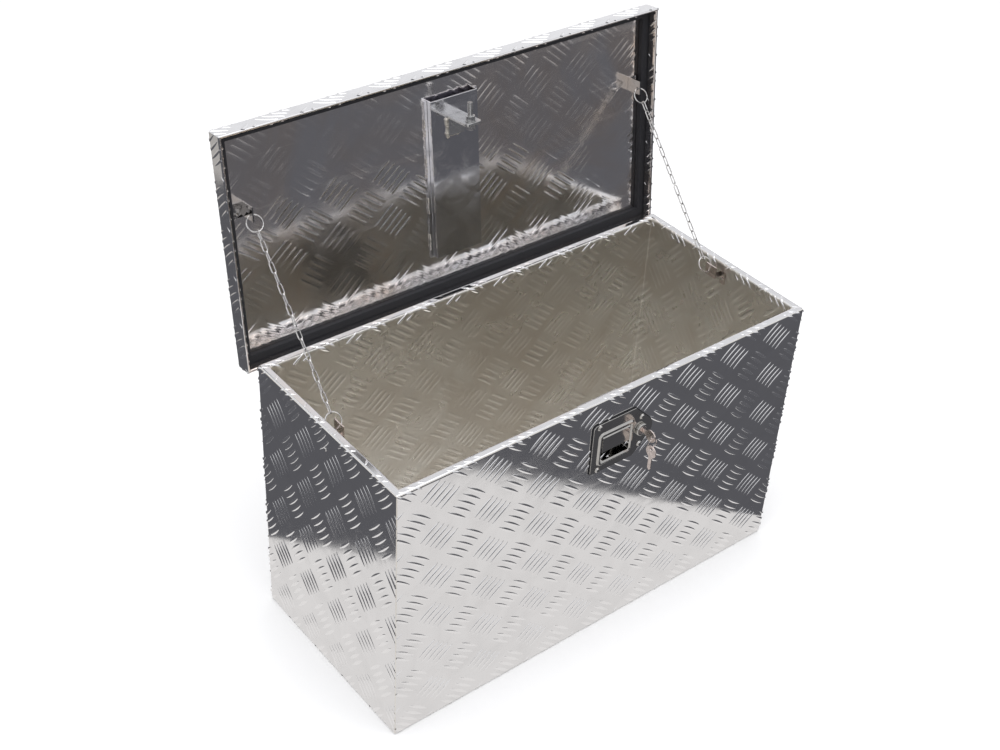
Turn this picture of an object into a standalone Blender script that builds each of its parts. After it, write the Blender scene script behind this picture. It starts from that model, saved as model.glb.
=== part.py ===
"""Tread-plate aluminium tool box: a folded tub, a hinged tray lid on two chains and a keyed paddle latch.

Frame: metres, +Z up, X along the box, the latch side faces -Y, origin at the centre of the underside.
The lid and everything on it is drawn shut, under an empty on the hinge axis that opens it.
"""
import math

import bmesh
import bpy
import numpy as np
from mathutils import Matrix, Vector

# Driving sizes
GAP = 0.0003                    # clearance between pieces that touch
OVERRUN = 0.002                 # how far a cutter runs past the face that it cuts
SHEET = 0.0016                  # tread plate thickness
TUB_LENGTH = 0.765
TUB_WIDTH = 0.3458
TUB_HEIGHT = 0.4631
FOLD_RADIUS = 0.0032            # outside radius of the tub's folds
RIM_FLANGE = 0.013              # rim flange, turned inward
RIM_LIP = 0.014                 # lip turned down from the flange

LID_OVERHANG = 0.0096           # lid past the tub at each end
LID_FRONT_OVERHANG = 0.0098
LID_REAR_OVERHANG = 0.0091
LID_DROP = 0.0152               # skirt edge below the rim
LID_OPEN_DEG = 96.26            # where the chains stop the lid
HEM_GAP = 0.0012                # gap inside the folded skirt
HEM_HEIGHT = 0.015
LID_FOLD_RADIUS = 0.002
SEAL_WIDTH = 0.015
SEAL_HEIGHT = 0.0088
SEAL_CLEARANCE = 0.0014          # room for the tread bars on the tub's rim

HINGE_LENGTH = 0.72
HINGE_PIN_RADIUS = 0.0012
HINGE_LEAF = 0.0012
HINGE_BARREL_RADIUS = 0.0024
HINGE_KNUCKLES = 18
HINGE_TUB_LEAF_HEIGHT = 0.0265
HINGE_LID_LEAF_HEIGHT = 0.0238
RIVET_RADIUS = 0.0016
RIVET_HEAD_RADIUS = 0.0032
RIVET_HEAD = 0.0013
RIVET_SIDES = 8
RIVET_TAIL_RADIUS = 0.0026
RIVET_TAIL = 0.0016

CHANNEL_WIDTH = 0.085
CHANNEL_DEPTH = 0.0112
CHANNEL_SHEET = 0.002
CHANNEL_FOOT = 0.006
CHANNEL_START = 0.063           # from the lid's rear edge
CHANNEL_END = 0.048             # from the lid's front edge

STRIKER_WIDTH = 0.0286
STRIKER_SHEET = 0.0038
STRIKER_REACH = 0.0486          # out of the channel's face
STRIKER_LEG = 0.031             # leg that is welded to the channel
STRIKER_END = 0.0276            # from the channel's front end to the striker plate
STRIKER_CORNER = 0.006
STUD_RADIUS = 0.004
STUD_FROM_FACE = 0.0384
STUD_REACH = 0.0286             # in front of the striker plate
STUD_TAIL = 0.010               # behind the striker plate
NUT_ACROSS = 0.013
NUT_HEIGHT = 0.0062
WASHER_RADIUS = 0.0082
WASHER_HEIGHT = 0.0014

LINK_WIRE = 0.0019
LINK_WIDTH = 0.0077
LINKS_LOWER = 8
LINKS_UPPER = 9
LINK_PRESS = 0.0005             # how deep each link bears on the next
LINK_BOW_POINTS = 4
RING_RADIUS = 0.0124            # centreline
RING_WIRE = 0.0020
RING_POINTS = 20
STRAP = 0.002                   # chain bracket sheet
TAB_INSET = 0.0257              # from the tub's end to the chain brackets' outer faces
TAB_HOLE_RADIUS = 0.0022
TUB_TAB_REAR = 0.0135           # tub tab, rear edge from the middle of the box
TUB_TAB_FRONT = 0.009
TUB_TAB_HOLE = 0.0085           # hole from the middle of the box
TUB_TAB_RISE = 0.0202           # tab height
TUB_TAB_HOLE_RISE = 0.0049      # hole above the tab's foot
TUB_TAB_LEG = 0.010             # width of the leg that runs under the lip
TUB_TAB_FOOT = 0.0205           # foot down the tub's end wall
LIP_CLEARANCE = 0.0085          # bracket leg under the lip
LID_TAB_FROM_REAR = 0.2306      # lid tab, from the lid's rear edge
LID_TAB_WIDTH = 0.0224
LID_TAB_REACH = 0.0275          # out of the lid's panel
LID_TAB_HOLE = 0.0052           # hole from the tab's free edge
LID_TAB_HOLE_SHARE = 0.42       # of the tab's width
LID_TAB_BASE = 0.0172

LATCH_DROP = 0.0862             # from the rim down to the middle of the latch opening
LATCH_GASKET = 0.001
PAN_SHEET = 0.0018
PAN_LEFT = 0.044
PAN_TOP = 0.0472                # flange above the opening's middle
PAN_BOTTOM = 0.0415
PAN_CORNER = 0.007
NOSE_X = 0.0523                 # rounded nose around the lock, between two 45 degree sides
NOSE_Z = 0.002                  # nose centre above the opening's middle
NOSE_RADIUS = 0.0202
OPENING_WIDTH = 0.0544
OPENING_HEIGHT = 0.0468
OPENING_CORNER = 0.002
BEAD_WIDTH = 0.007
BEAD_HEIGHT = 0.0025
BEAD_CORNER = 0.008
BEAD_SECTION = ((0.0, -0.3), (0.0, 0.25), (0.12, 0.7), (0.34, 1.0), (0.62, 1.0), (0.86, 0.55), (1.0, 0.0),
                (1.0, -0.3))       # shares of the bead's width and height, from the opening outward
GASKET_MARGIN = 0.0012
ARM_SLOT_PLAY = 0.0012
ARM_SLOT_HEIGHT = 0.018
PAN_DEPTH = 0.018              # recess, from the flange's front face
PAN_WALL = 0.0012
LATCH_HOLE_RADIUS = 0.0021
LATCH_RIVET_RADIUS = 0.0018
LATCH_RIVET_HEAD_RADIUS = 0.00475
LATCH_RIVET_HEAD = 0.0026
LATCH_RIVET_INSETS = (-0.0064, -0.0036)       # left rivets, from the opening's left edge
LATCH_RIVET_RISE = (0.0191, 0.0132)          # above and below the opening
LATCH_RIVET_RIGHT = -0.0002                  # right rivets, from the lock's axis
LATCH_RIVET_SPREAD = (0.0229, 0.0276)       # above and below the lock
CUTOUT_PLAY = 0.002
LOCK_X = 0.0490
LOCK_Z = 0.0041                 # above the opening's middle
LOCK_RADIUS = 0.0095
LOCK_HEAD_RADIUS = 0.0104
LOCK_HEAD = 0.005
LOCK_BEVEL = 0.0012
CAM_SQUARE = 0.006
LOCK_LENGTH = 0.0265            # behind the flange's front face
LOCK_NUT_ACROSS = 0.022
LOCK_NUT_HEIGHT = 0.0032
PLUG_RADIUS = 0.0064
CAM_LENGTH = 0.027
CAM_WIDTH = 0.010
CAM_SHEET = 0.002
CAM_SCREW_RADIUS = 0.0035
CAM_SCREW_HEAD = 0.0022

FRAME_SHEET = 0.002
FRAME_DEPTH = 0.0422            # from the tub's front wall to the frame's rear face
FRAME_HALF = 0.0385
FRAME_TOP = 0.0531
FRAME_BOTTOM = 0.0429
FRAME_FOOT = 0.0175
FRAME_FOOT_HEIGHT = 0.011
FRAME_NUT_PLAY = 0.0008
NOTCH_HALF = 0.0055
NOTCH_DEPTH = 0.0115

PADDLE_SHEET = 0.002
PADDLE_HEIGHT = 0.0287
PADDLE_SWING_DEG = 25
PADDLE_SIDE_GAP = 0.001
PADDLE_PIN_RADIUS = 0.0015
PADDLE_PIN_BEHIND = 0.003       # pin behind the flange's front face
PADDLE_PIN_DROP = 0.0035        # pin below the opening's top edge
PADDLE_CURL = 0.005             # the finger edge, turned inward
PADDLE_ARM_X = 0.0235
PADDLE_ARM_WIDTH = 0.004
PADDLE_ARM_HEIGHT = 0.005
PADDLE_ARM_LENGTH = 0.0205
PADDLE_KNUCKLE = 0.0115
SPRING_WIRE = 0.0008
SPRING_TURNS = 3
SPRING_POINTS = 8

PAWL_X = 0.009
PAWL_DROP = 0.0254              # pawl pivot below the stud
PAWL_SHEET = 0.003
PAWL_AHEAD = 0.0005             # pawl in front of the frame's rear plate
PAWL_PIN_RADIUS = 0.0025
PAWL_PIN_HEAD_RADIUS = 0.005
PAWL_PIN_HEAD = 0.0012
PAWL_PIN_TAIL_RADIUS = 0.0036
PAWL_EYE_RADIUS = 0.0065
PAWL_HOOK = 0.004               # metal over the stud
PAWL_LIP = 0.0021
PAWL_TAIL = 0.0145
PAWL_TAB_LENGTH = 0.0213
PAWL_TAB_WIDTH = 0.008
PAWL_TAB_HEIGHT = 0.003
PAWL_TAB_PLAY = 0.001            # between the paddle's arm and the pawl's tab
STUD_PLAY = 0.0006

KEY_SHEET = 0.002
KEY_BOW_RADIUS = 0.0100
KEY_BOW_FROM_HEAD = 0.017
KEY_HOLE_RADIUS = 0.003
KEY_BLADE = 0.0062
KEY_BLADE_LENGTH = 0.034        # from the bow's middle to the tip
KEY_HOLE_OFFSET = 0.005
KEY_NECK = 0.002
KEY_RING_RADIUS = 0.0085
KEY_RING_WIRE = 0.0016

# Worked out from the sizes above
half_x, half_y = TUB_LENGTH / 2, TUB_WIDTH / 2
lid_x = half_x + LID_OVERHANG
lid_front = -(half_y + LID_FRONT_OVERHANG)
lid_rear = half_y + LID_REAR_OVERHANG
lid_bottom = TUB_HEIGHT - LID_DROP
panel_inside = TUB_HEIGHT + SEAL_CLEARANCE + SEAL_HEIGHT + GAP
lid_top = panel_inside + SHEET
axis_y = lid_rear + GAP + HINGE_LEAF - HINGE_BARREL_RADIUS
axis_z = lid_bottom - GAP - HINGE_BARREL_RADIUS
OPEN = math.radians(LID_OPEN_DEG)


# Helpers
for old in list(bpy.data.objects):
    bpy.data.objects.remove(old, do_unlink=True)
parts = bpy.data.collections.new("tread_plate_tool_box")
cutters = bpy.data.collections.new("cutters")
bpy.context.scene.collection.children.link(parts)
bpy.context.scene.collection.children.link(cutters)


def finish_of(name, colour, roughness, metallic):
    """One Principled material."""
    made = bpy.data.materials.new(name)
    made.use_nodes = True
    shader = made.node_tree.nodes["Principled BSDF"]
    shader.inputs["Base Color"].default_value = (*colour, 1)
    shader.inputs["Roughness"].default_value = roughness
    shader.inputs["Metallic"].default_value = metallic
    return made


def put(name, mesh, finish, parent=None, smooth=True):
    """Link a mesh as a named piece; its coordinates are the box's own."""
    piece = bpy.data.objects.new(name, mesh)
    (parts if finish else cutters).objects.link(piece)
    if finish:
        mesh.materials.clear()
        mesh.materials.append(finish_of(name, *finish))
    else:
        piece.hide_render = True
        piece.display_type = 'WIRE'
    if smooth:
        mesh.shade_smooth()
        mesh.set_sharp_from_angle(angle=math.radians(35))
    if parent:
        piece.parent = parent
        piece.matrix_parent_inverse = parent.matrix_world.inverted()
    return piece


def mesh_of(name, build):
    """A mesh from a function that fills a bmesh."""
    shape = bmesh.new()
    build(shape)
    bmesh.ops.recalc_face_normals(shape, faces=shape.faces)
    mesh = bpy.data.meshes.new(name)
    shape.to_mesh(mesh)
    shape.free()
    return mesh


def add_box(shape, x0, x1, y0, y1, z0, z1):
    middle = Vector(((x0 + x1) / 2, (y0 + y1) / 2, (z0 + z1) / 2))
    size = Matrix.Diagonal((x1 - x0, y1 - y0, z1 - z0, 1))
    return bmesh.ops.create_cube(shape, size=1, matrix=Matrix.Translation(middle) @ size)["verts"]


TURN = {'X': Matrix.Rotation(math.pi / 2, 4, 'Y'), 'Y': Matrix.Rotation(-math.pi / 2, 4, 'X'),
        'Z': Matrix.Identity(4), '-Y': Matrix.Rotation(math.pi / 2, 4, 'X'),
        '-X': Matrix.Rotation(-math.pi / 2, 4, 'Y'), '-Z': Matrix.Rotation(math.pi, 4, 'X')}


def add_rod(shape, middle, axis, radius, length, sides=20, radius2=None):
    """A cylinder, or a cone with radius2 at its far end, along an axis."""
    return bmesh.ops.create_cone(shape, cap_ends=True, segments=sides, radius1=radius,
                                 radius2=radius if radius2 is None else radius2, depth=length,
                                 matrix=Matrix.Translation(middle) @ TURN[axis])["verts"]


def to_mesh(piece, place=None, weld=True):
    """The evaluated mesh of a curve or of a piece with modifiers, in the box's coordinates."""
    graph = bpy.context.evaluated_depsgraph_get()
    mesh = bpy.data.meshes.new_from_object(piece.evaluated_get(graph))
    mesh.transform(place or piece.matrix_world)
    shape = bmesh.new()
    shape.from_mesh(mesh)
    if weld:
        bmesh.ops.remove_doubles(shape, verts=shape.verts, dist=GAP / 30)
        bmesh.ops.recalc_face_normals(shape, faces=shape.faces)
    shape.to_mesh(mesh)
    shape.free()
    bpy.data.objects.remove(piece, do_unlink=True)
    return mesh


def outline(name, loops, low, high, axis):
    """Flat outline with optional holes, extruded from low to high along an axis.
    Points are (y, z) for axis X, (x, z) for axis Y and (x, y) for axis Z."""
    curve = bpy.data.curves.new(name, 'CURVE')
    curve.dimensions = '2D'
    curve.fill_mode = 'BOTH'
    curve.extrude = (high - low) / 2
    for loop in loops:
        spline = curve.splines.new('POLY')
        spline.points.add(len(loop) - 1)
        for point, (a, b) in zip(spline.points, loop):
            point.co = (a, b, 0, 1)
        spline.use_cyclic_u = True
    piece = bpy.data.objects.new(name, curve)
    cutters.objects.link(piece)
    middle = (high + low) / 2
    place = {'Z': Matrix.Translation((0, 0, middle)),
             'Y': Matrix.Translation((0, middle, 0)) @ Matrix.Rotation(math.pi / 2, 4, 'X'),
             'X': Matrix.Translation((middle, 0, 0)) @ Matrix(((0, 0, 1, 0), (1, 0, 0, 0), (0, 1, 0, 0), (0, 0, 0, 1)))}
    return to_mesh(piece, place[axis])


def wire(name, points, radius, cyclic=False, sides=1):
    """A round wire through points."""
    curve = bpy.data.curves.new(name, 'CURVE')
    curve.dimensions = '3D'
    curve.bevel_depth = radius
    curve.bevel_resolution = sides
    curve.use_fill_caps = not cyclic
    spline = curve.splines.new('POLY')
    spline.points.add(len(points) - 1)
    for point, place in zip(spline.points, points):
        point.co = (*place, 1)
    spline.use_cyclic_u = cyclic
    piece = bpy.data.objects.new(name, curve)
    cutters.objects.link(piece)
    return to_mesh(piece)


def arc(centre, radius, start, end, steps):
    """Points on an arc, degrees."""
    turns = np.radians(np.linspace(start, end, steps))
    return [(centre[0] + radius * math.cos(t), centre[1] + radius * math.sin(t)) for t in turns]


def merge(name, *meshes):
    """Several meshes in one, still as separate bodies."""
    shape = bmesh.new()
    for mesh in meshes:
        shape.from_mesh(mesh)
    mesh = bpy.data.meshes.new(name)
    shape.to_mesh(mesh)
    shape.free()
    return mesh


def boolean(mesh, tool, operation='DIFFERENCE'):
    """Cut, or join, one mesh with another and give back the result."""
    body = put("work", mesh, None, smooth=False)
    other = put("tool", tool, None, smooth=False)
    step = body.modifiers.new("boolean", 'BOOLEAN')
    step.operation = operation
    step.solver = 'EXACT'
    step.object = other
    made = to_mesh(body, weld=False)
    bpy.data.objects.remove(other, do_unlink=True)
    return made


def union(*meshes):
    made = meshes[0]
    for other in meshes[1:]:
        made = boolean(made, other, 'UNION')
    return made


def boxes(name, rows):
    return mesh_of(name, lambda shape: [add_box(shape, *row) for row in rows])


def rods(name, rows, sides=20):
    """Each row is (middle, axis, radius, length)."""
    return mesh_of(name, lambda shape: [add_rod(shape, *row, sides=sides) for row in rows])


def turned(name, profile, base, axis, sides=20):
    """A turned solid: (radius, height) pairs from the outer top to the bottom, set on a base point."""
    mesh = bpy.data.meshes.new(name)
    rim = [(0, profile[0][1])] + list(profile) + [(0, profile[-1][1])]
    mesh.from_pydata([(r, 0, h) for r, h in rim], [(i, i + 1) for i in range(len(rim) - 1)], [])
    piece = bpy.data.objects.new(name, mesh)
    cutters.objects.link(piece)
    screw = piece.modifiers.new("turn", 'SCREW')
    screw.steps = sides
    screw.render_steps = sides
    screw.use_merge_vertices = True
    screw.merge_threshold = GAP / 30
    return to_mesh(piece, Matrix.Translation(base) @ TURN[axis])


def rivet_at(base, axis, grip, radius, head_radius, head, tail_radius, tail, sides=RIVET_SIDES):
    """Blind rivet: its head starts at height 0 and stands below it, the shank runs up through the grip."""
    rows = [(tail_radius, grip + tail), (tail_radius, grip), (radius, grip), (radius, 0), (head_radius, 0),
            (head_radius * DOME_SHARE, -head)]
    return turned("rivet", rows, base, axis, sides)


DOME_SHARE = 0.62


def folded_tray(name, half_length, y0, y1, shut_z, open_z, turns, radius):
    """Sheet tray: five sides of a box, then strips turned in from its open edge, each (inward, along z)."""
    shape = bmesh.new()
    add_box(shape, -half_length, half_length, y0, y1, min(shut_z, open_z), max(shut_z, open_z))
    away = math.copysign(1, open_z - shut_z)
    lid_face = max(shape.faces, key=lambda face: face.calc_center_median().z * away)
    bmesh.ops.delete(shape, geom=[lid_face], context='FACES')
    middle = (y0 + y1) / 2
    for inward, rise in turns:
        edges = [edge for edge in shape.edges if edge.is_boundary]
        new = bmesh.ops.extrude_edge_only(shape, edges=edges)["geom"]
        for vert in [item for item in new if isinstance(item, bmesh.types.BMVert)]:
            vert.co.x -= math.copysign(inward, vert.co.x)
            vert.co.y -= math.copysign(inward, vert.co.y - middle)
            vert.co.z += rise
    bmesh.ops.recalc_face_normals(shape, faces=shape.faces)
    base = min(shape.faces, key=lambda face: face.calc_center_median().z * away)
    if base.normal.z * away > 0:
        bmesh.ops.reverse_faces(shape, faces=shape.faces)
    mesh = bpy.data.meshes.new(name)
    shape.to_mesh(mesh)
    shape.free()
    piece = put("tray", mesh, None, smooth=False)
    bevel = piece.modifiers.new("folds", 'BEVEL')
    bevel.width = radius
    bevel.segments = 3
    bevel.limit_method = 'ANGLE'
    shell = piece.modifiers.new("sheet", 'SOLIDIFY')
    shell.thickness = SHEET
    shell.offset = -1
    shell.use_even_offset = True
    return to_mesh(piece)


# Finishes: colour, roughness, metallic
TREAD = ((0.72, 0.72, 0.73), 0.22, 1.0)
PLAIN = ((0.68, 0.68, 0.69), 0.30, 1.0)
ZINC = ((0.66, 0.66, 0.66), 0.32, 1.0)
POLISHED = ((0.62, 0.62, 0.64), 0.12, 1.0)
NICKEL = ((0.70, 0.66, 0.62), 0.25, 1.0)
DARK = ((0.025, 0.025, 0.027), 0.75, 0.0)

lid_axis = bpy.data.objects.new("lid_axis", None)
parts.objects.link(lid_axis)
lid_axis.location = (0, axis_y, axis_z)
bpy.context.view_layer.update()
ends = (-1, 1)

# Places that several pieces share
front_inside = -half_y + SHEET                  # inner face of the tub's front wall
gasket_front = -half_y - GAP - LATCH_GASKET
flange_back = gasket_front - GAP
flange_front = flange_back - PAN_SHEET
recess_back = flange_front + PAN_DEPTH
latch_z = TUB_HEIGHT - LATCH_DROP
opening_top = latch_z + OPENING_HEIGHT / 2
opening_bottom = latch_z - OPENING_HEIGHT / 2
lock_z = latch_z + LOCK_Z
tray_half = OPENING_WIDTH / 2 + PAN_WALL
tray_top = opening_top + PAN_WALL
tray_bottom = opening_bottom - PAN_WALL
latch_rivet_places = ((-OPENING_WIDTH / 2 + LATCH_RIVET_INSETS[0], opening_top + LATCH_RIVET_RISE[0]),
                      (-OPENING_WIDTH / 2 + LATCH_RIVET_INSETS[1], opening_bottom - LATCH_RIVET_RISE[1]),
                      (LOCK_X + LATCH_RIVET_RIGHT, lock_z + LATCH_RIVET_SPREAD[0]),
                      (LOCK_X + LATCH_RIVET_RIGHT, lock_z - LATCH_RIVET_SPREAD[1]))
crank_z = axis_z - HINGE_BARREL_RADIUS - (axis_y - HINGE_BARREL_RADIUS - half_y)
tub_leaf_low = crank_z - HINGE_TUB_LEAF_HEIGHT
lid_leaf_high = axis_z + HINGE_LID_LEAF_HEIGHT
tab_outer = half_x - TAB_INSET
tab_middle = tab_outer - STRAP / 2
leg_top = TUB_HEIGHT - RIM_LIP - LIP_CLEARANCE
leg_low = leg_top - STRAP
foot_rivet_z = leg_low - TUB_TAB_FOOT / 2
foot_rivet_y = -TUB_TAB_FRONT + TUB_TAB_LEG / 2
tab_rear = lid_rear - LID_TAB_FROM_REAR
base_rivet_x = tab_outer + LID_TAB_BASE / 2
base_rivet_y = tab_rear - LID_TAB_WIDTH / 2
hole = RIVET_RADIUS + GAP

# Tub
tub = folded_tray("tub", half_x, -half_y, half_y, 0, TUB_HEIGHT, ((RIM_FLANGE, 0), (0, -RIM_LIP)), FOLD_RADIUS)
through = SHEET + 2 * OVERRUN
rows = [((x, -half_y + SHEET / 2, z), 'Y', LATCH_HOLE_RADIUS, through) for x, z in latch_rivet_places]
rows += [((end * (half_x - SHEET / 2), foot_rivet_y, foot_rivet_z), 'X', hole, through) for end in ends]
tub_cuts = merge("tub_cuts", rods("holes", rows, RIVET_SIDES),
                 rods("lock hole", [((LOCK_X, -half_y + SHEET / 2, lock_z), 'Y', LOCK_RADIUS + GAP, through)], 24),
                 boxes("latch opening", [(-tray_half - CUTOUT_PLAY, tray_half + CUTOUT_PLAY,
                                          -half_y - OVERRUN, front_inside + OVERRUN,
                                          tray_bottom - CUTOUT_PLAY, tray_top + CUTOUT_PLAY)]))
put("tub", boolean(tub, tub_cuts), TREAD)

# Lid, drawn shut
skirt = 2 * SHEET + HEM_GAP
lid = folded_tray("lid", lid_x, lid_front, lid_rear, lid_top, lid_bottom,
                  ((skirt, 0), (0, HEM_HEIGHT)), LID_FOLD_RADIUS)
rows = [((end * base_rivet_x, base_rivet_y, lid_top - SHEET / 2), 'Z', hole, through) for end in ends]
put("lid", boolean(lid, rods("holes", rows, RIVET_SIDES)), TREAD, lid_axis)

edge = SHEET + GAP
seal = boolean(boxes("seal", [(-lid_x + edge, lid_x - edge, lid_front + edge, lid_rear - edge,
                               TUB_HEIGHT + SEAL_CLEARANCE, panel_inside - GAP)]),
               boxes("inside", [(-lid_x + edge + SEAL_WIDTH, lid_x - edge - SEAL_WIDTH,
                                 lid_front + edge + SEAL_WIDTH, lid_rear - edge - SEAL_WIDTH,
                                 TUB_HEIGHT - OVERRUN, panel_inside + OVERRUN)]))
put("lid_seal", seal, DARK, lid_axis)

# Continuous hinge
knuckle = HINGE_LENGTH / HINGE_KNUCKLES
reach = HINGE_BARREL_RADIUS + GAP


def knuckle_cuts(first):
    """Room for every other knuckle, beginning at the first or the second."""
    rows = []
    for i in range(first, HINGE_KNUCKLES, 2):
        x0 = -HINGE_LENGTH / 2 + i * knuckle
        low = x0 - (OVERRUN if i == 0 else GAP / 2)
        high = x0 + knuckle + (OVERRUN if i == HINGE_KNUCKLES - 1 else GAP / 2)
        rows.append((low, high, axis_y - reach, axis_y + reach, axis_z - reach, axis_z + reach))
    return boxes("knuckles", rows)


def hinge_leaf(strap, first):
    """A strap with its share of the barrel; it is spot-welded to the sheet, so no rivet shows inside."""
    barrel = rods("barrel", [((0, axis_y, axis_z), 'X', HINGE_BARREL_RADIUS, HINGE_LENGTH)], 10)
    bore = rods("bore", [((0, axis_y, axis_z), 'X', HINGE_PIN_RADIUS + GAP, HINGE_LENGTH + 2 * OVERRUN)], 8)
    return boolean(boolean(union(strap, barrel), bore), knuckle_cuts(first))


leaf_in, leaf_out = half_y + GAP, half_y + GAP + HINGE_LEAF
slant = HINGE_LEAF / math.sqrt(2) / 2
rise = axis_y - (leaf_in + leaf_out) / 2
bend = (leaf_out - leaf_in) / 2 - 2 * slant
strap = outline("tub leaf", [[(leaf_in, tub_leaf_low), (leaf_out, tub_leaf_low), (leaf_out, axis_z - rise + bend),
                              (axis_y + slant, axis_z - slant), (axis_y - slant, axis_z + slant),
                              (leaf_in, axis_z - rise - bend)]], -HINGE_LENGTH / 2, HINGE_LENGTH / 2, 'X')
put("hinge_tub_leaf", hinge_leaf(strap, 1), ZINC)
strap = boxes("lid leaf", [(-HINGE_LENGTH / 2, HINGE_LENGTH / 2, lid_rear + GAP, lid_rear + GAP + HINGE_LEAF,
                            axis_z + HINGE_LEAF / 4, lid_leaf_high)])
put("hinge_lid_leaf", hinge_leaf(strap, 0), ZINC, lid_axis)
put("hinge_pin", rods("pin", [((0, axis_y, axis_z), 'X', HINGE_PIN_RADIUS, HINGE_LENGTH)], 8), ZINC)

# Lid channel and striker
channel_rear = lid_rear - CHANNEL_START
channel_front = lid_front + CHANNEL_END
channel_top = panel_inside - GAP
face_z = channel_top - CHANNEL_DEPTH
half = CHANNEL_WIDTH / 2
wide = half + CHANNEL_FOOT
inner = half - CHANNEL_SHEET
section = [(-wide, channel_top), (-wide, channel_top - CHANNEL_SHEET), (-half, channel_top - CHANNEL_SHEET),
           (-half, face_z), (half, face_z), (half, channel_top - CHANNEL_SHEET),
           (wide, channel_top - CHANNEL_SHEET), (wide, channel_top), (inner, channel_top),
           (inner, face_z + CHANNEL_SHEET), (-inner, face_z + CHANNEL_SHEET), (-inner, channel_top)]
put("lid_channel", outline("channel", [section], channel_front, channel_rear, 'Y'), PLAIN, lid_axis)

striker_front = channel_front + STRIKER_END
striker_rear = striker_front + STRIKER_SHEET
plate_top = face_z - GAP
stud_z = face_z - STUD_FROM_FACE
wide = STRIKER_WIDTH / 2
low = face_z - STRIKER_REACH
tongue = [(-wide, plate_top)] + arc((-wide + STRIKER_CORNER, low + STRIKER_CORNER), STRIKER_CORNER, 180, 270, 5)
tongue += arc((wide - STRIKER_CORNER, low + STRIKER_CORNER), STRIKER_CORNER, 270, 360, 5) + [(wide, plate_top)]
bore = STUD_RADIUS + GAP
plate = outline("tongue", [tongue, arc((0, stud_z), bore, 0, 345, 24)], striker_front, striker_rear, 'Y')
leg = boxes("leg", [(-wide, wide, striker_rear - STRIKER_SHEET / 2, striker_front + STRIKER_LEG,
                     plate_top - STRIKER_SHEET, plate_top)])
put("striker_plate", union(plate, leg), PLAIN, lid_axis)

stud_tip = striker_front - STUD_REACH
stud_end = striker_rear + STUD_TAIL
put("striker_stud", rods("stud", [((0, (stud_tip + stud_end) / 2, stud_z), 'Y', STUD_RADIUS, stud_end - stud_tip)], 24),
    ZINC, lid_axis)
for side, face, out in (("front", striker_front, -1), ("rear", striker_rear, 1)):
    washer_near = face + out * GAP
    washer_far = washer_near + out * WASHER_HEIGHT
    ring = outline("washer", [arc((0, stud_z), WASHER_RADIUS, 0, 345, 24), arc((0, stud_z), bore, 0, 345, 24)],
                   min(washer_near, washer_far), max(washer_near, washer_far), 'Y')
    put(f"striker_washer_{side}", ring, ZINC, lid_axis)
    nut_near = washer_far + out * GAP
    nut_far = nut_near + out * NUT_HEIGHT
    corner = NUT_ACROSS / math.sqrt(3)
    nut = outline("nut", [arc((0, stud_z), corner, 0, 300, 6), arc((0, stud_z), bore, 0, 345, 24)],
                  min(nut_near, nut_far), max(nut_near, nut_far), 'Y')
    put(f"striker_nut_{side}", nut, ZINC, lid_axis)

# Chains
to_open = Matrix.Translation(lid_axis.location) @ Matrix.Rotation(-OPEN, 4, 'X') @ Matrix.Translation(-lid_axis.location)
tub_hole = Vector((0, TUB_TAB_HOLE, leg_low + TUB_TAB_HOLE_RISE))
tab_low = panel_inside - GAP - LID_TAB_REACH
lid_hole_shut = Vector((0, tab_rear - LID_TAB_WIDTH * LID_TAB_HOLE_SHARE, tab_low + LID_TAB_HOLE))
lid_hole = to_open @ lid_hole_shut
span = (lid_hole - tub_hole).length
pull = (lid_hole - tub_hole).normalized()
links = LINKS_LOWER + LINKS_UPPER
first_end = 2 * RING_RADIUS - (RING_WIRE + LINK_WIRE) / 2 - GAP
bite = LINK_WIRE - LINK_PRESS               # what each link reaches into the next
meet = LINK_WIRE + GAP                      # the two runs meet tip to tip here
link_length = (span - 2 * first_end + bite * (links - 2) - meet) / links


def along(distance):
    return tub_hole + pull * distance


def link_mesh(start, end, flat_in_x):
    """One link: two straights and two half rounds, between the centres of its end wires."""
    bow = (LINK_WIDTH - LINK_WIRE) / 2
    side = Vector((1, 0, 0)) if flat_in_x else pull.cross(Vector((1, 0, 0)))
    turns = np.radians(np.linspace(-90, 90, LINK_BOW_POINTS))
    long = bow / math.cos(math.pi / (LINK_BOW_POINTS - 1) / 2)
    far = [along(end - bow + long * math.cos(t)) + side * (bow * math.sin(t)) for t in turns]
    near = [along(start + bow - long * math.cos(t)) - side * (bow * math.sin(t)) for t in turns]
    return wire("link", far + near, LINK_WIRE / 2, cyclic=True)


def run_mesh(start, count, turned_first):
    """Links in line, every other one turned a quarter, joined where each hangs in the next."""
    made = []
    for i in range(count):
        begin = start + i * (link_length - bite)
        made.append(link_mesh(begin, begin + link_length, (i % 2 == 1) != turned_first))
    return union(*made)


def ring_mesh(centre):
    side = Vector((1, 0, 0))
    turns = [2 * math.pi * i / RING_POINTS for i in range(RING_POINTS)]
    return wire("ring", [centre + pull * (RING_RADIUS * math.cos(t)) + side * (RING_RADIUS * math.sin(t))
                         for t in turns], RING_WIRE / 2, cyclic=True)


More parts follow.
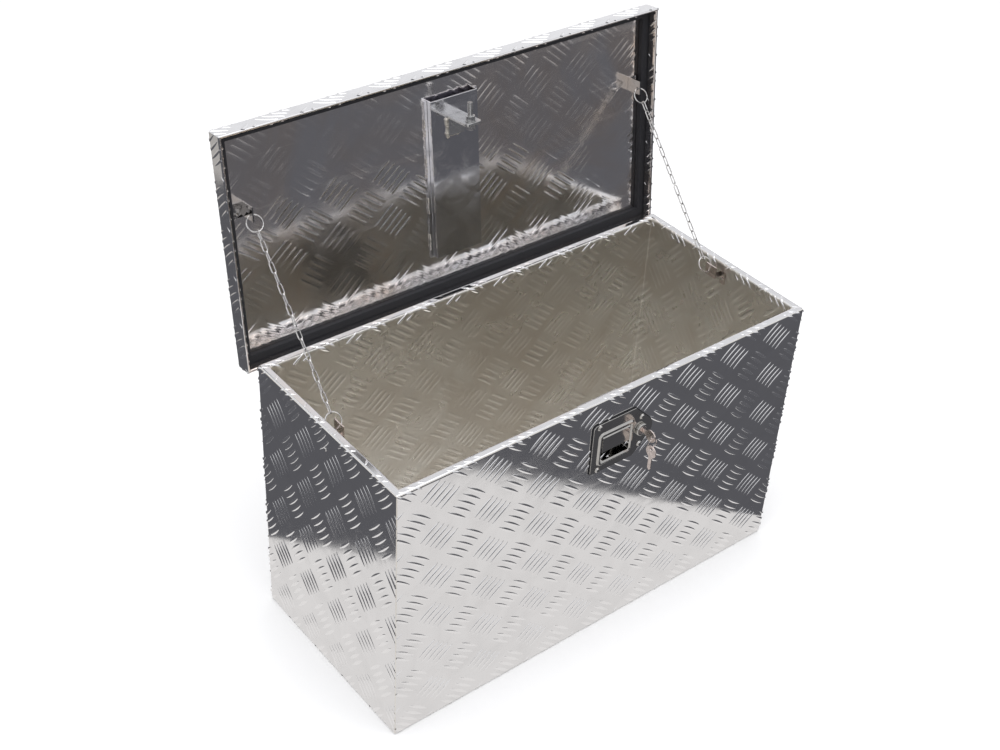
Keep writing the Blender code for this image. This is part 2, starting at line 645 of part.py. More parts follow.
lower_run = run_mesh(first_end, LINKS_LOWER, False)
upper_start = first_end + LINKS_LOWER * link_length - (LINKS_LOWER - 1) * bite + meet
upper_run = run_mesh(upper_start, LINKS_UPPER, LINKS_LOWER % 2 == 1)
lower_ring = ring_mesh(along(RING_RADIUS))
upper_ring = ring_mesh(along(span - RING_RADIUS))
for end, side in ((-1, "left"), (1, "right")):
    for where, hole_place, shapes in (("lower", tub_hole, (("ring", lower_ring), ("links", lower_run))),
                                      ("upper", lid_hole, (("ring", upper_ring), ("links", upper_run)))):
        pivot = bpy.data.objects.new(f"{side}_{where}_pivot", None)
        parts.objects.link(pivot)
        pivot.location = (end * tab_middle, hole_place.y, hole_place.z)
        for what, mesh in shapes:
            own = mesh.copy()
            own.transform(Matrix.Translation((0, -hole_place.y, -hole_place.z)))
            piece = put(f"{side}_{where}_{what}", own, NICKEL if what == "ring" else ZINC)
            piece.parent = pivot

# Chain brackets
for end, side in ((-1, "left"), (1, "right")):
    wall = half_x - SHEET - GAP
    near, far = tab_outer - STRAP, tab_outer
    tab = outline("tab", [[(-TUB_TAB_FRONT, leg_low), (TUB_TAB_REAR, leg_low), (TUB_TAB_REAR, leg_low + TUB_TAB_RISE),
                           (-TUB_TAB_FRONT, leg_low + TUB_TAB_RISE)],
                          arc((tub_hole.y, tub_hole.z), TAB_HOLE_RADIUS, 0, 330, 12)],
                  min(end * near, end * far), max(end * near, end * far), 'X')
    leg_rear = -TUB_TAB_FRONT + TUB_TAB_LEG
    leg = boxes("leg", [(min(end * near, end * wall), max(end * near, end * wall), -TUB_TAB_FRONT, leg_rear,
                         leg_low, leg_top)])
    foot = boxes("foot", [(min(end * (wall - STRAP), end * wall), max(end * (wall - STRAP), end * wall),
                           -TUB_TAB_FRONT, leg_rear, leg_low - TUB_TAB_FOOT, leg_top)])
    bracket = union(tab, leg, foot)
    bracket = boolean(bracket, rods("hole", [((end * wall, foot_rivet_y, foot_rivet_z), 'X', hole,
                                              2 * (STRAP + OVERRUN))], RIVET_SIDES))
    put(f"tub_bracket_{side}", bracket, PLAIN)
    grip = SHEET + STRAP + 3 * GAP
    axis = '-X' if end > 0 else 'X'
    put(f"tub_bracket_rivet_{side}",
        rivet_at((end * (half_x + GAP), foot_rivet_y, foot_rivet_z), axis, grip, RIVET_RADIUS, RIVET_HEAD_RADIUS,
                 RIVET_HEAD, RIVET_TAIL_RADIUS, RIVET_TAIL), PLAIN)

    tab = outline("tab", [[(tab_rear, tab_low), (tab_rear, panel_inside - GAP),
                           (tab_rear - LID_TAB_WIDTH, panel_inside - GAP), (tab_rear - LID_TAB_WIDTH, tab_low)],
                          arc((lid_hole_shut.y, lid_hole_shut.z), TAB_HOLE_RADIUS, 0, 330, 12)],
                  min(end * near, end * far), max(end * near, end * far), 'X')
    base = boxes("base", [(min(end * near, end * (far + LID_TAB_BASE)), max(end * near, end * (far + LID_TAB_BASE)),
                           tab_rear - LID_TAB_WIDTH, tab_rear, panel_inside - GAP - STRAP, panel_inside - GAP)])
    bracket = boolean(union(tab, base), rods("hole", [((end * base_rivet_x, base_rivet_y, panel_inside), 'Z', hole,
                                                       2 * (STRAP + OVERRUN))], RIVET_SIDES))
    put(f"lid_bracket_{side}", bracket, PLAIN, lid_axis)
    put(f"lid_bracket_rivet_{side}",
        rivet_at((end * base_rivet_x, base_rivet_y, lid_top + GAP), '-Z', grip, RIVET_RADIUS, RIVET_HEAD_RADIUS,
                 RIVET_HEAD, RIVET_TAIL_RADIUS, RIVET_TAIL), PLAIN, lid_axis)

# Latch: gasket, pan and rivets
def latch_outline(grow):
    """The flange's outline: square on the left, a rounded nose around the lock on the right, grown all round."""
    middle = latch_z + NOSE_Z
    radius = NOSE_RADIUS + grow
    low, high = latch_z - PAN_BOTTOM - grow, latch_z + PAN_TOP + grow
    tip = NOSE_X + radius * math.sqrt(2)
    left, corner = -PAN_LEFT - grow, PAN_CORNER + grow
    return ([(tip - (middle - low), low)] + arc((NOSE_X, middle), radius, -45, 45, 12) + [(tip - (high - middle), high)]
            + arc((left + corner, high - corner), corner, 90, 180, 5)
            + arc((left + PAN_CORNER / 2, low + PAN_CORNER / 2), PAN_CORNER / 2, 180, 270, 4))


def rounded(x_half, low, high, radius):
    """A rectangle with round corners."""
    loop = []
    for x, z, turn in ((1, high, 0), (-1, high, 90), (-1, low, 180), (1, low, 270)):
        centre = (x * (x_half - radius), z - radius if z == high else z + radius)
        loop += arc(centre, radius, turn, turn + 90, 4)
    return loop


def bead_ring(shape):
    """The pressed bead round the opening: its section swept along rounded rectangles."""
    rings = []
    for share, rise in BEAD_SECTION:
        grow = share * BEAD_WIDTH
        radius = OPENING_CORNER + share * (BEAD_CORNER - OPENING_CORNER)
        loop = rounded(OPENING_WIDTH / 2 + grow, opening_bottom - grow, opening_top + grow, radius)
        rings.append([shape.verts.new((x, flange_front - rise * BEAD_HEIGHT, z)) for x, z in loop])
    for ring, following in zip(rings, rings[1:] + rings[:1]):
        for i, vert in enumerate(ring):
            j = (i + 1) % len(ring)
            shape.faces.new((vert, ring[j], following[j], following[i]))


def rectangle(x_half, low, high):
    return [(-x_half, low), (x_half, low), (x_half, high), (-x_half, high)]


rivet_holes = [arc(place, LATCH_RIVET_RADIUS + GAP, 0, 315, 8) for place in latch_rivet_places]
play = GAP
gasket_hole = rectangle(tray_half + play, tray_bottom - play, tray_top + play)
lock_hole = arc((LOCK_X, lock_z), LOCK_RADIUS + GAP, 0, 345, 24)
put("latch_gasket", outline("gasket", [latch_outline(GASKET_MARGIN), gasket_hole, lock_hole] + rivet_holes,
                            gasket_front, gasket_front + LATCH_GASKET, 'Y'), DARK)

flange = outline("flange", [latch_outline(0), rectangle(tray_half - PAN_WALL / 2, tray_bottom + PAN_WALL / 2,
                                                        tray_top - PAN_WALL / 2), lock_hole] + rivet_holes,
                 flange_front, flange_back, 'Y')
bead = mesh_of("bead", bead_ring)
recess = outline("recess", [rectangle(tray_half, tray_bottom, tray_top),
                            rounded(OPENING_WIDTH / 2, opening_bottom, opening_top, OPENING_CORNER)],
                 flange_front, recess_back - PAN_WALL / 2, 'Y')
floor = boxes("floor", [(-tray_half, tray_half, recess_back - PAN_WALL, recess_back, tray_bottom, tray_top)])
pin_y = flange_front + PADDLE_PIN_BEHIND
pin_z = opening_top - PADDLE_PIN_DROP
arm_half = PADDLE_ARM_WIDTH / 2 + ARM_SLOT_PLAY
slot = boxes("slot", [(PADDLE_ARM_X - arm_half, PADDLE_ARM_X + arm_half, recess_back - PAN_WALL - OVERRUN,
                       recess_back + OVERRUN, pin_z - ARM_SLOT_HEIGHT, opening_top)])
pin_holes = rods("pin holes", [((0, pin_y, pin_z), 'X', PADDLE_PIN_RADIUS + GAP, 2 * (tray_half + OVERRUN))], 12)
put("latch_pan", boolean(boolean(union(flange, bead, recess, floor), slot), pin_holes), POLISHED)

grip = flange_back - flange_front + LATCH_GASKET + SHEET + FRAME_SHEET + 5 * GAP
for (x, z), name in zip(latch_rivet_places, ("top_left", "bottom_left", "top_right", "bottom_right")):
    put(f"latch_rivet_{name}", rivet_at((x, flange_front - GAP, z), 'Y', grip, LATCH_RIVET_RADIUS,
                                        LATCH_RIVET_HEAD_RADIUS, LATCH_RIVET_HEAD, LATCH_RIVET_RADIUS * 1.6,
                                        RIVET_TAIL, 12), POLISHED)

# Latch frame: a bracket behind the front wall
frame_front = front_inside + GAP
frame_back = front_inside + FRAME_DEPTH
plate_front = frame_back - FRAME_SHEET
frame_low, frame_high = latch_z - FRAME_BOTTOM, latch_z + FRAME_TOP
notch_low = frame_high - NOTCH_DEPTH
back = outline("back", [[(-FRAME_HALF, frame_low), (FRAME_HALF, frame_low), (FRAME_HALF, frame_high),
                         (NOTCH_HALF, frame_high), (NOTCH_HALF, notch_low), (-NOTCH_HALF, notch_low),
                         (-NOTCH_HALF, frame_high), (-FRAME_HALF, frame_high)]], plate_front, frame_back, 'Y')
webs = [boxes("web", [(min(end * FRAME_HALF, end * (FRAME_HALF - FRAME_SHEET)),
                       max(end * FRAME_HALF, end * (FRAME_HALF - FRAME_SHEET)), frame_front,
                       frame_back - FRAME_SHEET / 2, frame_low, frame_high)]) for end in ends]
feet = []
for x, z in latch_rivet_places:
    x0, x1 = (-FRAME_HALF, x + FRAME_FOOT / 2) if x < 0 else (FRAME_HALF - FRAME_SHEET, x + FRAME_FOOT / 2)
    feet.append(boxes("foot", [(x0, x1, frame_front, frame_front + FRAME_SHEET, z - FRAME_FOOT_HEIGHT / 2,
                                z + FRAME_FOOT_HEIGHT / 2)]))
frame = union(back, *webs, *feet)
nut_room = LOCK_NUT_ACROSS / math.sqrt(3) + FRAME_NUT_PLAY
pawl_pin_x, pawl_pin_z = PAWL_X, stud_z - PAWL_DROP
frame_cuts = merge("frame cuts", rods("rivets", [((x, front_inside, z), 'Y', LATCH_RIVET_RADIUS + GAP,
                                                  2 * (FRAME_SHEET + OVERRUN)) for x, z in latch_rivet_places], 8),
                   rods("pawl pin", [((pawl_pin_x, frame_back, pawl_pin_z), 'Y', PAWL_PIN_RADIUS + GAP,
                                      2 * (FRAME_SHEET + OVERRUN))], 16),
                   boxes("nut", [(FRAME_HALF - 2 * FRAME_SHEET, FRAME_HALF + FRAME_SHEET, front_inside - OVERRUN,
                                  frame_front + 2 * GAP + LOCK_NUT_HEIGHT + OVERRUN, lock_z - nut_room,
                                  lock_z + nut_room)]))
put("latch_frame", boolean(frame, frame_cuts), ZINC)
# Paddle, its pin and its spring
paddle_axis = bpy.data.objects.new("paddle_axis", None)
parts.objects.link(paddle_axis)
paddle_axis.location = (0, pin_y, pin_z)
bpy.context.view_layer.update()
paddle_half = OPENING_WIDTH / 2 - PADDLE_SIDE_GAP
face_y = flange_front - BEAD_HEIGHT + PADDLE_SHEET / 2
knuckle_radius = PADDLE_PIN_RADIUS + GAP + PADDLE_SHEET / 2
swing = math.radians(PADDLE_SWING_DEG)
ledge = pin_y - face_y - PADDLE_SHEET / 2       # from the pin forward to the blade's top corner
blade_top = pin_z + (opening_top - GAP - pin_z - ledge * math.sin(swing)) / math.cos(swing)
blade_low = blade_top - PADDLE_HEIGHT
blade = outline("blade", [[(face_y, blade_top - PADDLE_SHEET), (face_y + PADDLE_SHEET / 2, blade_top),
                           (face_y + PADDLE_SHEET, blade_top), (face_y + PADDLE_SHEET, blade_low + PADDLE_SHEET),
                           (face_y + PADDLE_SHEET + PADDLE_CURL, blade_low + PADDLE_SHEET),
                           (face_y + PADDLE_SHEET + PADDLE_CURL, blade_low), (face_y + PADDLE_SHEET / 2, blade_low),
                           (face_y, blade_low + PADDLE_SHEET / 2)]], -paddle_half, paddle_half, 'X')
knuckles = []
for end in ends:
    inner, outer = end * (paddle_half - PADDLE_KNUCKLE), end * paddle_half
    knuckles.append(rods("knuckle", [(((inner + outer) / 2, pin_y, pin_z), 'X', knuckle_radius, PADDLE_KNUCKLE)], 16))
    knuckles.append(boxes("saddle", [(min(inner, outer), max(inner, outer), face_y + PADDLE_SHEET / 2, pin_y,
                                      pin_z - knuckle_radius / 2, pin_z + knuckle_radius / 2)]))
arm = boxes("arm", [(PADDLE_ARM_X - PADDLE_ARM_WIDTH / 2, PADDLE_ARM_X + PADDLE_ARM_WIDTH / 2, pin_y,
                     pin_y + PADDLE_ARM_LENGTH, pin_z - PADDLE_ARM_HEIGHT / 2, pin_z + PADDLE_ARM_HEIGHT / 2)])
paddle = union(blade, *knuckles, arm)
bore = rods("bore", [((0, pin_y, pin_z), 'X', PADDLE_PIN_RADIUS + GAP, OPENING_WIDTH)], 12)
put("latch_paddle", boolean(paddle, bore), POLISHED, paddle_axis)
put("paddle_pin", rods("pin", [((0, pin_y, pin_z), 'X', PADDLE_PIN_RADIUS, 2 * (tray_half + GAP))], 12), ZINC)


def coil(name, centre, axis, radius, turns, pitch):
    """A torsion spring's turns about an axis through a centre point."""
    count = turns * SPRING_POINTS + 1
    points = []
    for i in range(count):
        angle = 2 * math.pi * i / SPRING_POINTS
        forward = (i / (count - 1) - 1 / 2) * turns * pitch
        a, b = radius * math.cos(angle), radius * math.sin(angle)
        points.append(Vector(centre) + (Vector((forward, a, b)) if axis == 'X' else Vector((a, forward, b))))
    return wire(name, points, SPRING_WIRE / 2)


spring_pitch = SPRING_WIRE + GAP
put("paddle_spring", coil("spring", (0, pin_y, pin_z), 'X', PADDLE_PIN_RADIUS + GAP + SPRING_WIRE / 2, SPRING_TURNS,
                          spring_pitch), ZINC)

# Pawl, its pin and its spring
pawl_back = plate_front - PAWL_AHEAD
pawl_front = pawl_back - PAWL_SHEET
pawl_axis = bpy.data.objects.new("pawl_axis", None)
parts.objects.link(pawl_axis)
pawl_axis.location = (pawl_pin_x, pawl_back, pawl_pin_z)
bpy.context.view_layer.update()
seat = STUD_RADIUS + STUD_PLAY
far = math.hypot(pawl_pin_x, PAWL_DROP) + seat
lip_x = -pawl_pin_x - seat
lip_z = math.sqrt(far ** 2 - lip_x ** 2)
hook_top = PAWL_DROP + seat + PAWL_HOOK
tab_top = pin_z - PADDLE_ARM_HEIGHT / 2 - PAWL_TAB_PLAY - pawl_pin_z
tab_low_z = tab_top - PAWL_TAB_HEIGHT
tab_x0, tab_x1 = PAWL_TAIL - PAWL_TAB_WIDTH / 2, PAWL_TAIL + PAWL_TAB_WIDTH / 2
left = -pawl_pin_x + seat
start = math.degrees(math.atan2(tab_low_z + GAP, math.sqrt(PAWL_EYE_RADIUS ** 2 - left ** 2)))
around = 180 - math.degrees(math.acos(min(1, abs(left) / PAWL_EYE_RADIUS)))
hook = arc((0, 0), PAWL_EYE_RADIUS, start, around - 360, 12)
hook += [(left, PAWL_DROP + seat), (lip_x, PAWL_DROP + seat), (lip_x, lip_z),
         (lip_x - PAWL_LIP, lip_z), (lip_x - PAWL_LIP, hook_top - PAWL_LIP), (lip_x, hook_top),
         (PAWL_EYE_RADIUS / 2, hook_top), (PAWL_EYE_RADIUS, hook_top - PAWL_EYE_RADIUS),
         (PAWL_EYE_RADIUS, tab_top - GAP), (tab_x1 - GAP, tab_top - GAP), (tab_x1 - GAP, tab_low_z + GAP)]
hook = [(x + pawl_pin_x, z + pawl_pin_z) for x, z in hook]
pawl = outline("pawl", [hook], pawl_front, pawl_back, 'Y')
tab = boxes("tab", [(pawl_pin_x + tab_x0, pawl_pin_x + tab_x1, pawl_front - PAWL_TAB_LENGTH,
                     (pawl_front + pawl_back) / 2, pawl_pin_z + tab_low_z, pawl_pin_z + tab_top)])
bore = rods("bore", [((pawl_pin_x, pawl_back, pawl_pin_z), 'Y', PAWL_PIN_RADIUS + GAP,
                      2 * (PAWL_SHEET + OVERRUN))], 16)
put("latch_pawl", boolean(union(pawl, tab), bore), ZINC, pawl_axis)

spring_room = SPRING_TURNS * spring_pitch + SPRING_WIRE + 2 * GAP
head_y = pawl_front - spring_room
pin = [(PAWL_PIN_HEAD_RADIUS, PAWL_PIN_HEAD), (PAWL_PIN_HEAD_RADIUS, 0), (PAWL_PIN_RADIUS, 0),
       (PAWL_PIN_RADIUS, -(frame_back + GAP - head_y)), (PAWL_PIN_TAIL_RADIUS, -(frame_back + GAP - head_y)),
       (PAWL_PIN_TAIL_RADIUS, -(frame_back + GAP - head_y + PAWL_PIN_HEAD))]
put("pawl_pin", turned("pin", pin, (pawl_pin_x, head_y, pawl_pin_z), '-Y', 16), ZINC)
put("pawl_spring", coil("spring", (pawl_pin_x, pawl_front - spring_room / 2, pawl_pin_z), 'Y',
                        PAWL_PIN_RADIUS + GAP + SPRING_WIRE / 2, SPRING_TURNS, spring_pitch), ZINC)

# Lock: body, nut, plug, cam and screw
lock_end = flange_front + LOCK_LENGTH
bore = PLUG_RADIUS + GAP
body = turned("body", [(LOCK_RADIUS, LOCK_LENGTH), (LOCK_RADIUS, -GAP), (LOCK_HEAD_RADIUS, -GAP),
                       (LOCK_HEAD_RADIUS, -LOCK_HEAD + LOCK_BEVEL), (LOCK_HEAD_RADIUS - LOCK_BEVEL, -LOCK_HEAD)],
              (LOCK_X, flange_front, lock_z), 'Y', 28)
lock_middle = flange_front + (LOCK_LENGTH - LOCK_HEAD) / 2
bore_rod = rods("bore", [((LOCK_X, lock_middle, lock_z), 'Y', bore, LOCK_LENGTH + LOCK_HEAD + 2 * OVERRUN)], 24)
put("lock_body", boolean(body, bore_rod), POLISHED)
nut_near = frame_front
ring = outline("nut", [arc((LOCK_X, lock_z), LOCK_NUT_ACROSS / math.sqrt(3), 30, 330, 6),
                       arc((LOCK_X, lock_z), LOCK_RADIUS + GAP, 0, 345, 24)], nut_near, nut_near + LOCK_NUT_HEIGHT, 'Y')
put("lock_nut", ring, ZINC)

plug_axis = bpy.data.objects.new("lock_axis", None)
parts.objects.link(plug_axis)
plug_axis.location = (LOCK_X, flange_front, lock_z)
bpy.context.view_layer.update()
plug_front = flange_front - LOCK_HEAD
key_half = KEY_SHEET / 2
tail_half = CAM_SQUARE / 2
plug = rods("plug", [((LOCK_X, (plug_front + lock_end) / 2, lock_z), 'Y', PLUG_RADIUS, lock_end - plug_front)], 24)
tail_end = lock_end + GAP + CAM_SHEET
square = boxes("square", [(LOCK_X - tail_half, LOCK_X + tail_half, lock_end - OVERRUN, tail_end,
                           lock_z - tail_half, lock_z + tail_half)])
keyway = boxes("keyway", [(LOCK_X - key_half - GAP, LOCK_X + key_half + GAP, plug_front - OVERRUN,
                           plug_front + KEY_BLADE_LENGTH - KEY_BOW_FROM_HEAD + GAP, lock_z - KEY_BLADE / 2 - GAP, lock_z + KEY_BLADE / 2 + GAP)])
put("lock_plug", boolean(union(plug, square), keyway), NICKEL, plug_axis)
cam_half = CAM_WIDTH / 2
blade = [(-cam_half, -CAM_LENGTH + cam_half)] + arc((0, -CAM_LENGTH + cam_half), cam_half, 180, 360, 8)[1:]
blade += arc((0, 0), cam_half, 0, 180, 8)
hole_half = tail_half + GAP
cam = outline("cam", [[(LOCK_X + x, lock_z + z) for x, z in blade],
                      [(LOCK_X + x, lock_z + z) for x, z in rectangle(hole_half, -hole_half, hole_half)]],
              lock_end + GAP, tail_end, 'Y')
put("lock_cam", cam, ZINC, plug_axis)
put("cam_screw", rods("screw", [((LOCK_X, tail_end + GAP + CAM_SCREW_HEAD / 2, lock_z), 'Y', CAM_SCREW_RADIUS,
                                 CAM_SCREW_HEAD)], 16), ZINC, plug_axis)

# Keys and their ring
bow_y = plug_front - KEY_BOW_FROM_HEAD


def key_mesh(tip_axis):
    """A flat key with its bow's middle at the origin: the blade runs along +Y, or down along -Z."""
    bow = arc((0, 0), KEY_BOW_RADIUS, 25, 335, 20)
    neck = KEY_BLADE / 2
    shape = bow + [(KEY_BOW_RADIUS + KEY_NECK, -neck), (KEY_BLADE_LENGTH - neck, -neck), (KEY_BLADE_LENGTH, 0),
                   (KEY_BLADE_LENGTH - neck, neck), (KEY_BOW_RADIUS + KEY_NECK, neck)]
    eye = arc((-KEY_HOLE_OFFSET, 0), KEY_HOLE_RADIUS, 0, 330, 12)
    if tip_axis == 'Z':
        shape = [(b, -a) for a, b in shape]
        eye = [(b, -a) for a, b in eye]
    return outline("key", [shape, eye], -key_half, key_half, 'X')


key = key_mesh('Y')
ring_hole_y = bow_y - KEY_HOLE_OFFSET
key.transform(Matrix.Translation((LOCK_X, bow_y, lock_z)))
put("key", key, NICKEL, plug_axis)

hang = KEY_HOLE_RADIUS - KEY_RING_WIRE / 2 - GAP        # the wire lies on the hole's edge
ring_top = lock_z - hang
ring_z = ring_top - KEY_RING_RADIUS
ring_axis = bpy.data.objects.new("key_ring_axis", None)
parts.objects.link(ring_axis)
ring_axis.location = (LOCK_X, ring_hole_y, ring_top)
bpy.context.view_layer.update()
turns = [2 * math.pi * i / RING_POINTS for i in range(RING_POINTS)]
ring = wire("ring", [(LOCK_X + KEY_RING_RADIUS * math.sin(t), ring_hole_y, ring_z + KEY_RING_RADIUS * math.cos(t))
                     for t in turns], KEY_RING_WIRE / 2, cyclic=True)
put("key_ring", ring, NICKEL, ring_axis)
spare_axis = bpy.data.objects.new("spare_key_axis", None)
parts.objects.link(spare_axis)
spare_axis.location = (LOCK_X, ring_hole_y, ring_z - KEY_RING_RADIUS)
bpy.context.view_layer.update()
spare = key_mesh('Z')
spare.transform(Matrix.Translation((LOCK_X, ring_hole_y, ring_z - KEY_RING_RADIUS - hang - KEY_HOLE_OFFSET)))
put("spare_key", spare, NICKEL, spare_axis)

# The lid stands open, as far as the chains let it
lid_axis.rotation_euler = (-OPEN, 0, 0)
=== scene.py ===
# %% [markdown]
# # A tread-plate aluminium tool box
# This file dresses a finished mechanical model. The solid pieces, their joints and their sizes already
# exist, so each cell below only adds looks: finishes, the raised tread bars and welds.
# The camera stands where the photographer stood. It was solved from seven corners of the box.

# %% Load the frame
import math
import random

import bmesh
import bpy
import numpy as np
from mathutils import Matrix, Vector


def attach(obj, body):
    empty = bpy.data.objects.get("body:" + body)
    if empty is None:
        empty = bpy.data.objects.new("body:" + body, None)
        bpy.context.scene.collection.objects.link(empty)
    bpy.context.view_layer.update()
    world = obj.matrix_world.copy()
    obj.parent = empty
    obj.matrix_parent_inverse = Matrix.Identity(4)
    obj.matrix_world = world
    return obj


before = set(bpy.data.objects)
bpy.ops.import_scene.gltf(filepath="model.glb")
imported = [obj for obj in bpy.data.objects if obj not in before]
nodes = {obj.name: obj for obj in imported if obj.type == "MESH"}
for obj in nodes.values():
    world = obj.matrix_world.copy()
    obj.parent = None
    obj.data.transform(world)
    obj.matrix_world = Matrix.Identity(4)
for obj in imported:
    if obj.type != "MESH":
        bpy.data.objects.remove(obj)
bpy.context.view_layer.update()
HINGE = (0.1811, 0.4452)            # the lid hinge's axis, from the side
OPEN = math.radians(96.26)          # how far the lid stands open at rest

# %% [markdown]
# The camera is a plain perspective one. Its focal length was found in pixels of a picture 1000 pixels wide,
# and times the sensor's width over those 1000 pixels it is the lens in millimetres.

# %% Camera
SENSOR = 36                         # mm
FOCAL_PIXELS, PICTURE_PIXELS = 1512.44, 1000
CAMERA_PLACE = (-1.22530326, -1.36610668, 1.75605624)
CAMERA_TURN = (53.1935, -2.7022, -38.0433)      # degrees
stage = bpy.context.scene
camera_data = bpy.data.cameras.new("camera")
camera_data.sensor_width = SENSOR
camera_data.lens = SENSOR * FOCAL_PIXELS / PICTURE_PIXELS
camera = bpy.data.objects.new("camera", camera_data)
camera.location = CAMERA_PLACE
camera.rotation_euler = [math.radians(angle) for angle in CAMERA_TURN]
stage.collection.objects.link(camera)
stage.camera = camera
stage.view_settings.view_transform = 'Standard'
print("lens", round(camera_data.lens, 2), "mm")

# %% [markdown]
# Polished metal has no colour of its own: it shows the room. The photograph's room is a metre-wide run of
# pale paper that passes under the box towards the back, with a dark floor on both sides of it. That is why
# the front of the box is white below one slanting line and dark above it. So the paper is modelled at its
# real width and direction, and a grey piece far behind stands for the far wall that the open lid mirrors.
# Each of these is white paper to the camera, so that the box's shadow shows on it, and glows in its own
# tone where the metal mirrors it.

# %% Paper floor
PAPER_TURN = math.radians(49)
PAPER_EDGES = (-0.537, 0.441)       # metres across the run, left and right of the box's middle
PAPER_REACH = 3.0
FLOOR_SIDE = 4                      # how far the dark floor runs out on both sides
FLOOR_Z = -0.0012                   # the box stands on its tread bars
WALL_X, WALL_Y = (-4, 0.5), (1.38, 4)
WALL_LIFT = 0.0002                  # above the floor
PAPER_SEEN = (0.87, 0.87, 0.87)
PAPER_MIRRORED = (0.78, 0.76, 0.745)
FLOOR_MIRRORED = (0.105, 0.105, 0.115)
WALL_MIRRORED = (0.46, 0.44, 0.42)
along = Vector((math.cos(PAPER_TURN), math.sin(PAPER_TURN), 0))
across = Vector((math.sin(PAPER_TURN), -math.cos(PAPER_TURN), 0))


def add_piece(name, data):
    """A mesh or a lamp as an object of the scene."""
    piece = bpy.data.objects.new(name, data)
    stage.collection.objects.link(piece)
    return piece


def floor_piece(name, corners, look):
    """One flat four-sided piece of the floor."""
    shape = bmesh.new()
    shape.faces.new([shape.verts.new(corner) for corner in corners])
    bmesh.ops.recalc_face_normals(shape, faces=shape.faces)
    mesh = bpy.data.meshes.new(name)
    shape.to_mesh(mesh)
    shape.free()
    mesh.materials.append(look)
    piece = add_piece(name, mesh)


def run_corners(left, right):
    """A run between two offsets across the paper's direction."""
    return [across * side + along * reach + Vector((0, 0, FLOOR_Z))
            for side, reach in ((left, -PAPER_REACH), (right, -PAPER_REACH),
                                (right, PAPER_REACH), (left, PAPER_REACH))]


def stage_material(name, mirrored):
    """White to the camera with a soft shadow, and its own tone in reflections."""
    made = bpy.data.materials.new(name)
    made.use_nodes = True
    tree = made.node_tree
    tree.nodes.clear()
    out = tree.nodes.new("ShaderNodeOutputMaterial")
    path = tree.nodes.new("ShaderNodeLightPath")
    matte = tree.nodes.new("ShaderNodeBsdfDiffuse")
    matte.inputs["Color"].default_value = (*PAPER_SEEN, 1)
    glow = tree.nodes.new("ShaderNodeEmission")
    glow.inputs["Color"].default_value = (*mirrored, 1)
    mix = tree.nodes.new("ShaderNodeMixShader")
    tree.links.new(path.outputs["Is Glossy Ray"], mix.inputs["Fac"])
    tree.links.new(matte.outputs[0], mix.inputs[1])
    tree.links.new(glow.outputs[0], mix.inputs[2])
    tree.links.new(mix.outputs[0], out.inputs["Surface"])
    return made


paper_look = stage_material("paper", PAPER_MIRRORED)
floor_look = stage_material("studio floor", FLOOR_MIRRORED)
wall_look = stage_material("far wall", WALL_MIRRORED)
floor_piece("paper_run", run_corners(*PAPER_EDGES), paper_look)
floor_piece("floor_left", run_corners(-FLOOR_SIDE, PAPER_EDGES[0]), floor_look)
floor_piece("floor_right", run_corners(PAPER_EDGES[1], FLOOR_SIDE), floor_look)
wall_corners = [(x, y, FLOOR_Z + WALL_LIFT) for x, y in ((WALL_X[0], WALL_Y[0]), (WALL_X[1], WALL_Y[0]),
                                                         (WALL_X[1], WALL_Y[1]), (WALL_X[0], WALL_Y[1]))]
floor_piece("floor_far", wall_corners, wall_look)
print("paper width", round(PAPER_EDGES[1] - PAPER_EDGES[0], 3))

# %% [markdown]
# The room's own light is a ramp from the horizon up to the ceiling: grey at the horizon, pale walls, and a
# bright ceiling that lights the rim and the folds. The camera sees plain white behind the box.

# %% World
SKY = ((0.06, 0.88), (0.22, 0.90), (0.50, 0.78), (0.82, 0.82), (0.90, 2.0))      # height and brightness
SKY_BLUE = 1.02                     # how much cooler than grey the room is
HORIZON, CEILING = (0.48, 0.48, 0.49), (2.0, 2.0, 1.96)
world = bpy.data.worlds.new("studio")
stage.world = world
world.use_nodes = True
tree = world.node_tree
tree.nodes.clear()
where = tree.nodes.new("ShaderNodeTexCoord")
split = tree.nodes.new("ShaderNodeSeparateXYZ")
tree.links.new(where.outputs["Generated"], split.inputs[0])
ramp = tree.nodes.new("ShaderNodeValToRGB")
stops = ramp.color_ramp.elements
stops[0].position, stops[0].color = 0.0, (*HORIZON, 1)
stops[1].position, stops[1].color = 1.0, (*CEILING, 1)
for position, tone in SKY:
    stops.new(position).color = (tone, tone, tone * SKY_BLUE, 1)
tree.links.new(split.outputs["Z"], ramp.inputs["Fac"])
room = tree.nodes.new("ShaderNodeBackground")
tree.links.new(ramp.outputs["Color"], room.inputs["Color"])
white = tree.nodes.new("ShaderNodeBackground")
white.inputs["Color"].default_value = (1, 1, 1, 1)
path = tree.nodes.new("ShaderNodeLightPath")
mix = tree.nodes.new("ShaderNodeMixShader")
out = tree.nodes.new("ShaderNodeOutputWorld")
tree.links.new(path.outputs["Is Camera Ray"], mix.inputs["Fac"])
tree.links.new(room.outputs[0], mix.inputs[1])
tree.links.new(white.outputs[0], mix.inputs[2])
tree.links.new(mix.outputs[0], out.inputs["Surface"])
print("sky stops", len(stops))

# %% Soft boxes
LAMP_TARGET = (0, 0, 0.3)


def soft_box(name, place, size, watts):
    """An area lamp turned towards the box. The metal mirrors the room and not the lamp itself."""
    lamp = bpy.data.lights.new(name, 'AREA')
    lamp.shape = 'RECTANGLE'
    lamp.size, lamp.size_y = size
    lamp.energy = watts
    piece = add_piece(name, lamp)
    piece.location = place
    piece.rotation_euler = (Vector(LAMP_TARGET) - Vector(place)).to_track_quat('-Z', 'Y').to_euler()
    piece.visible_glossy = False


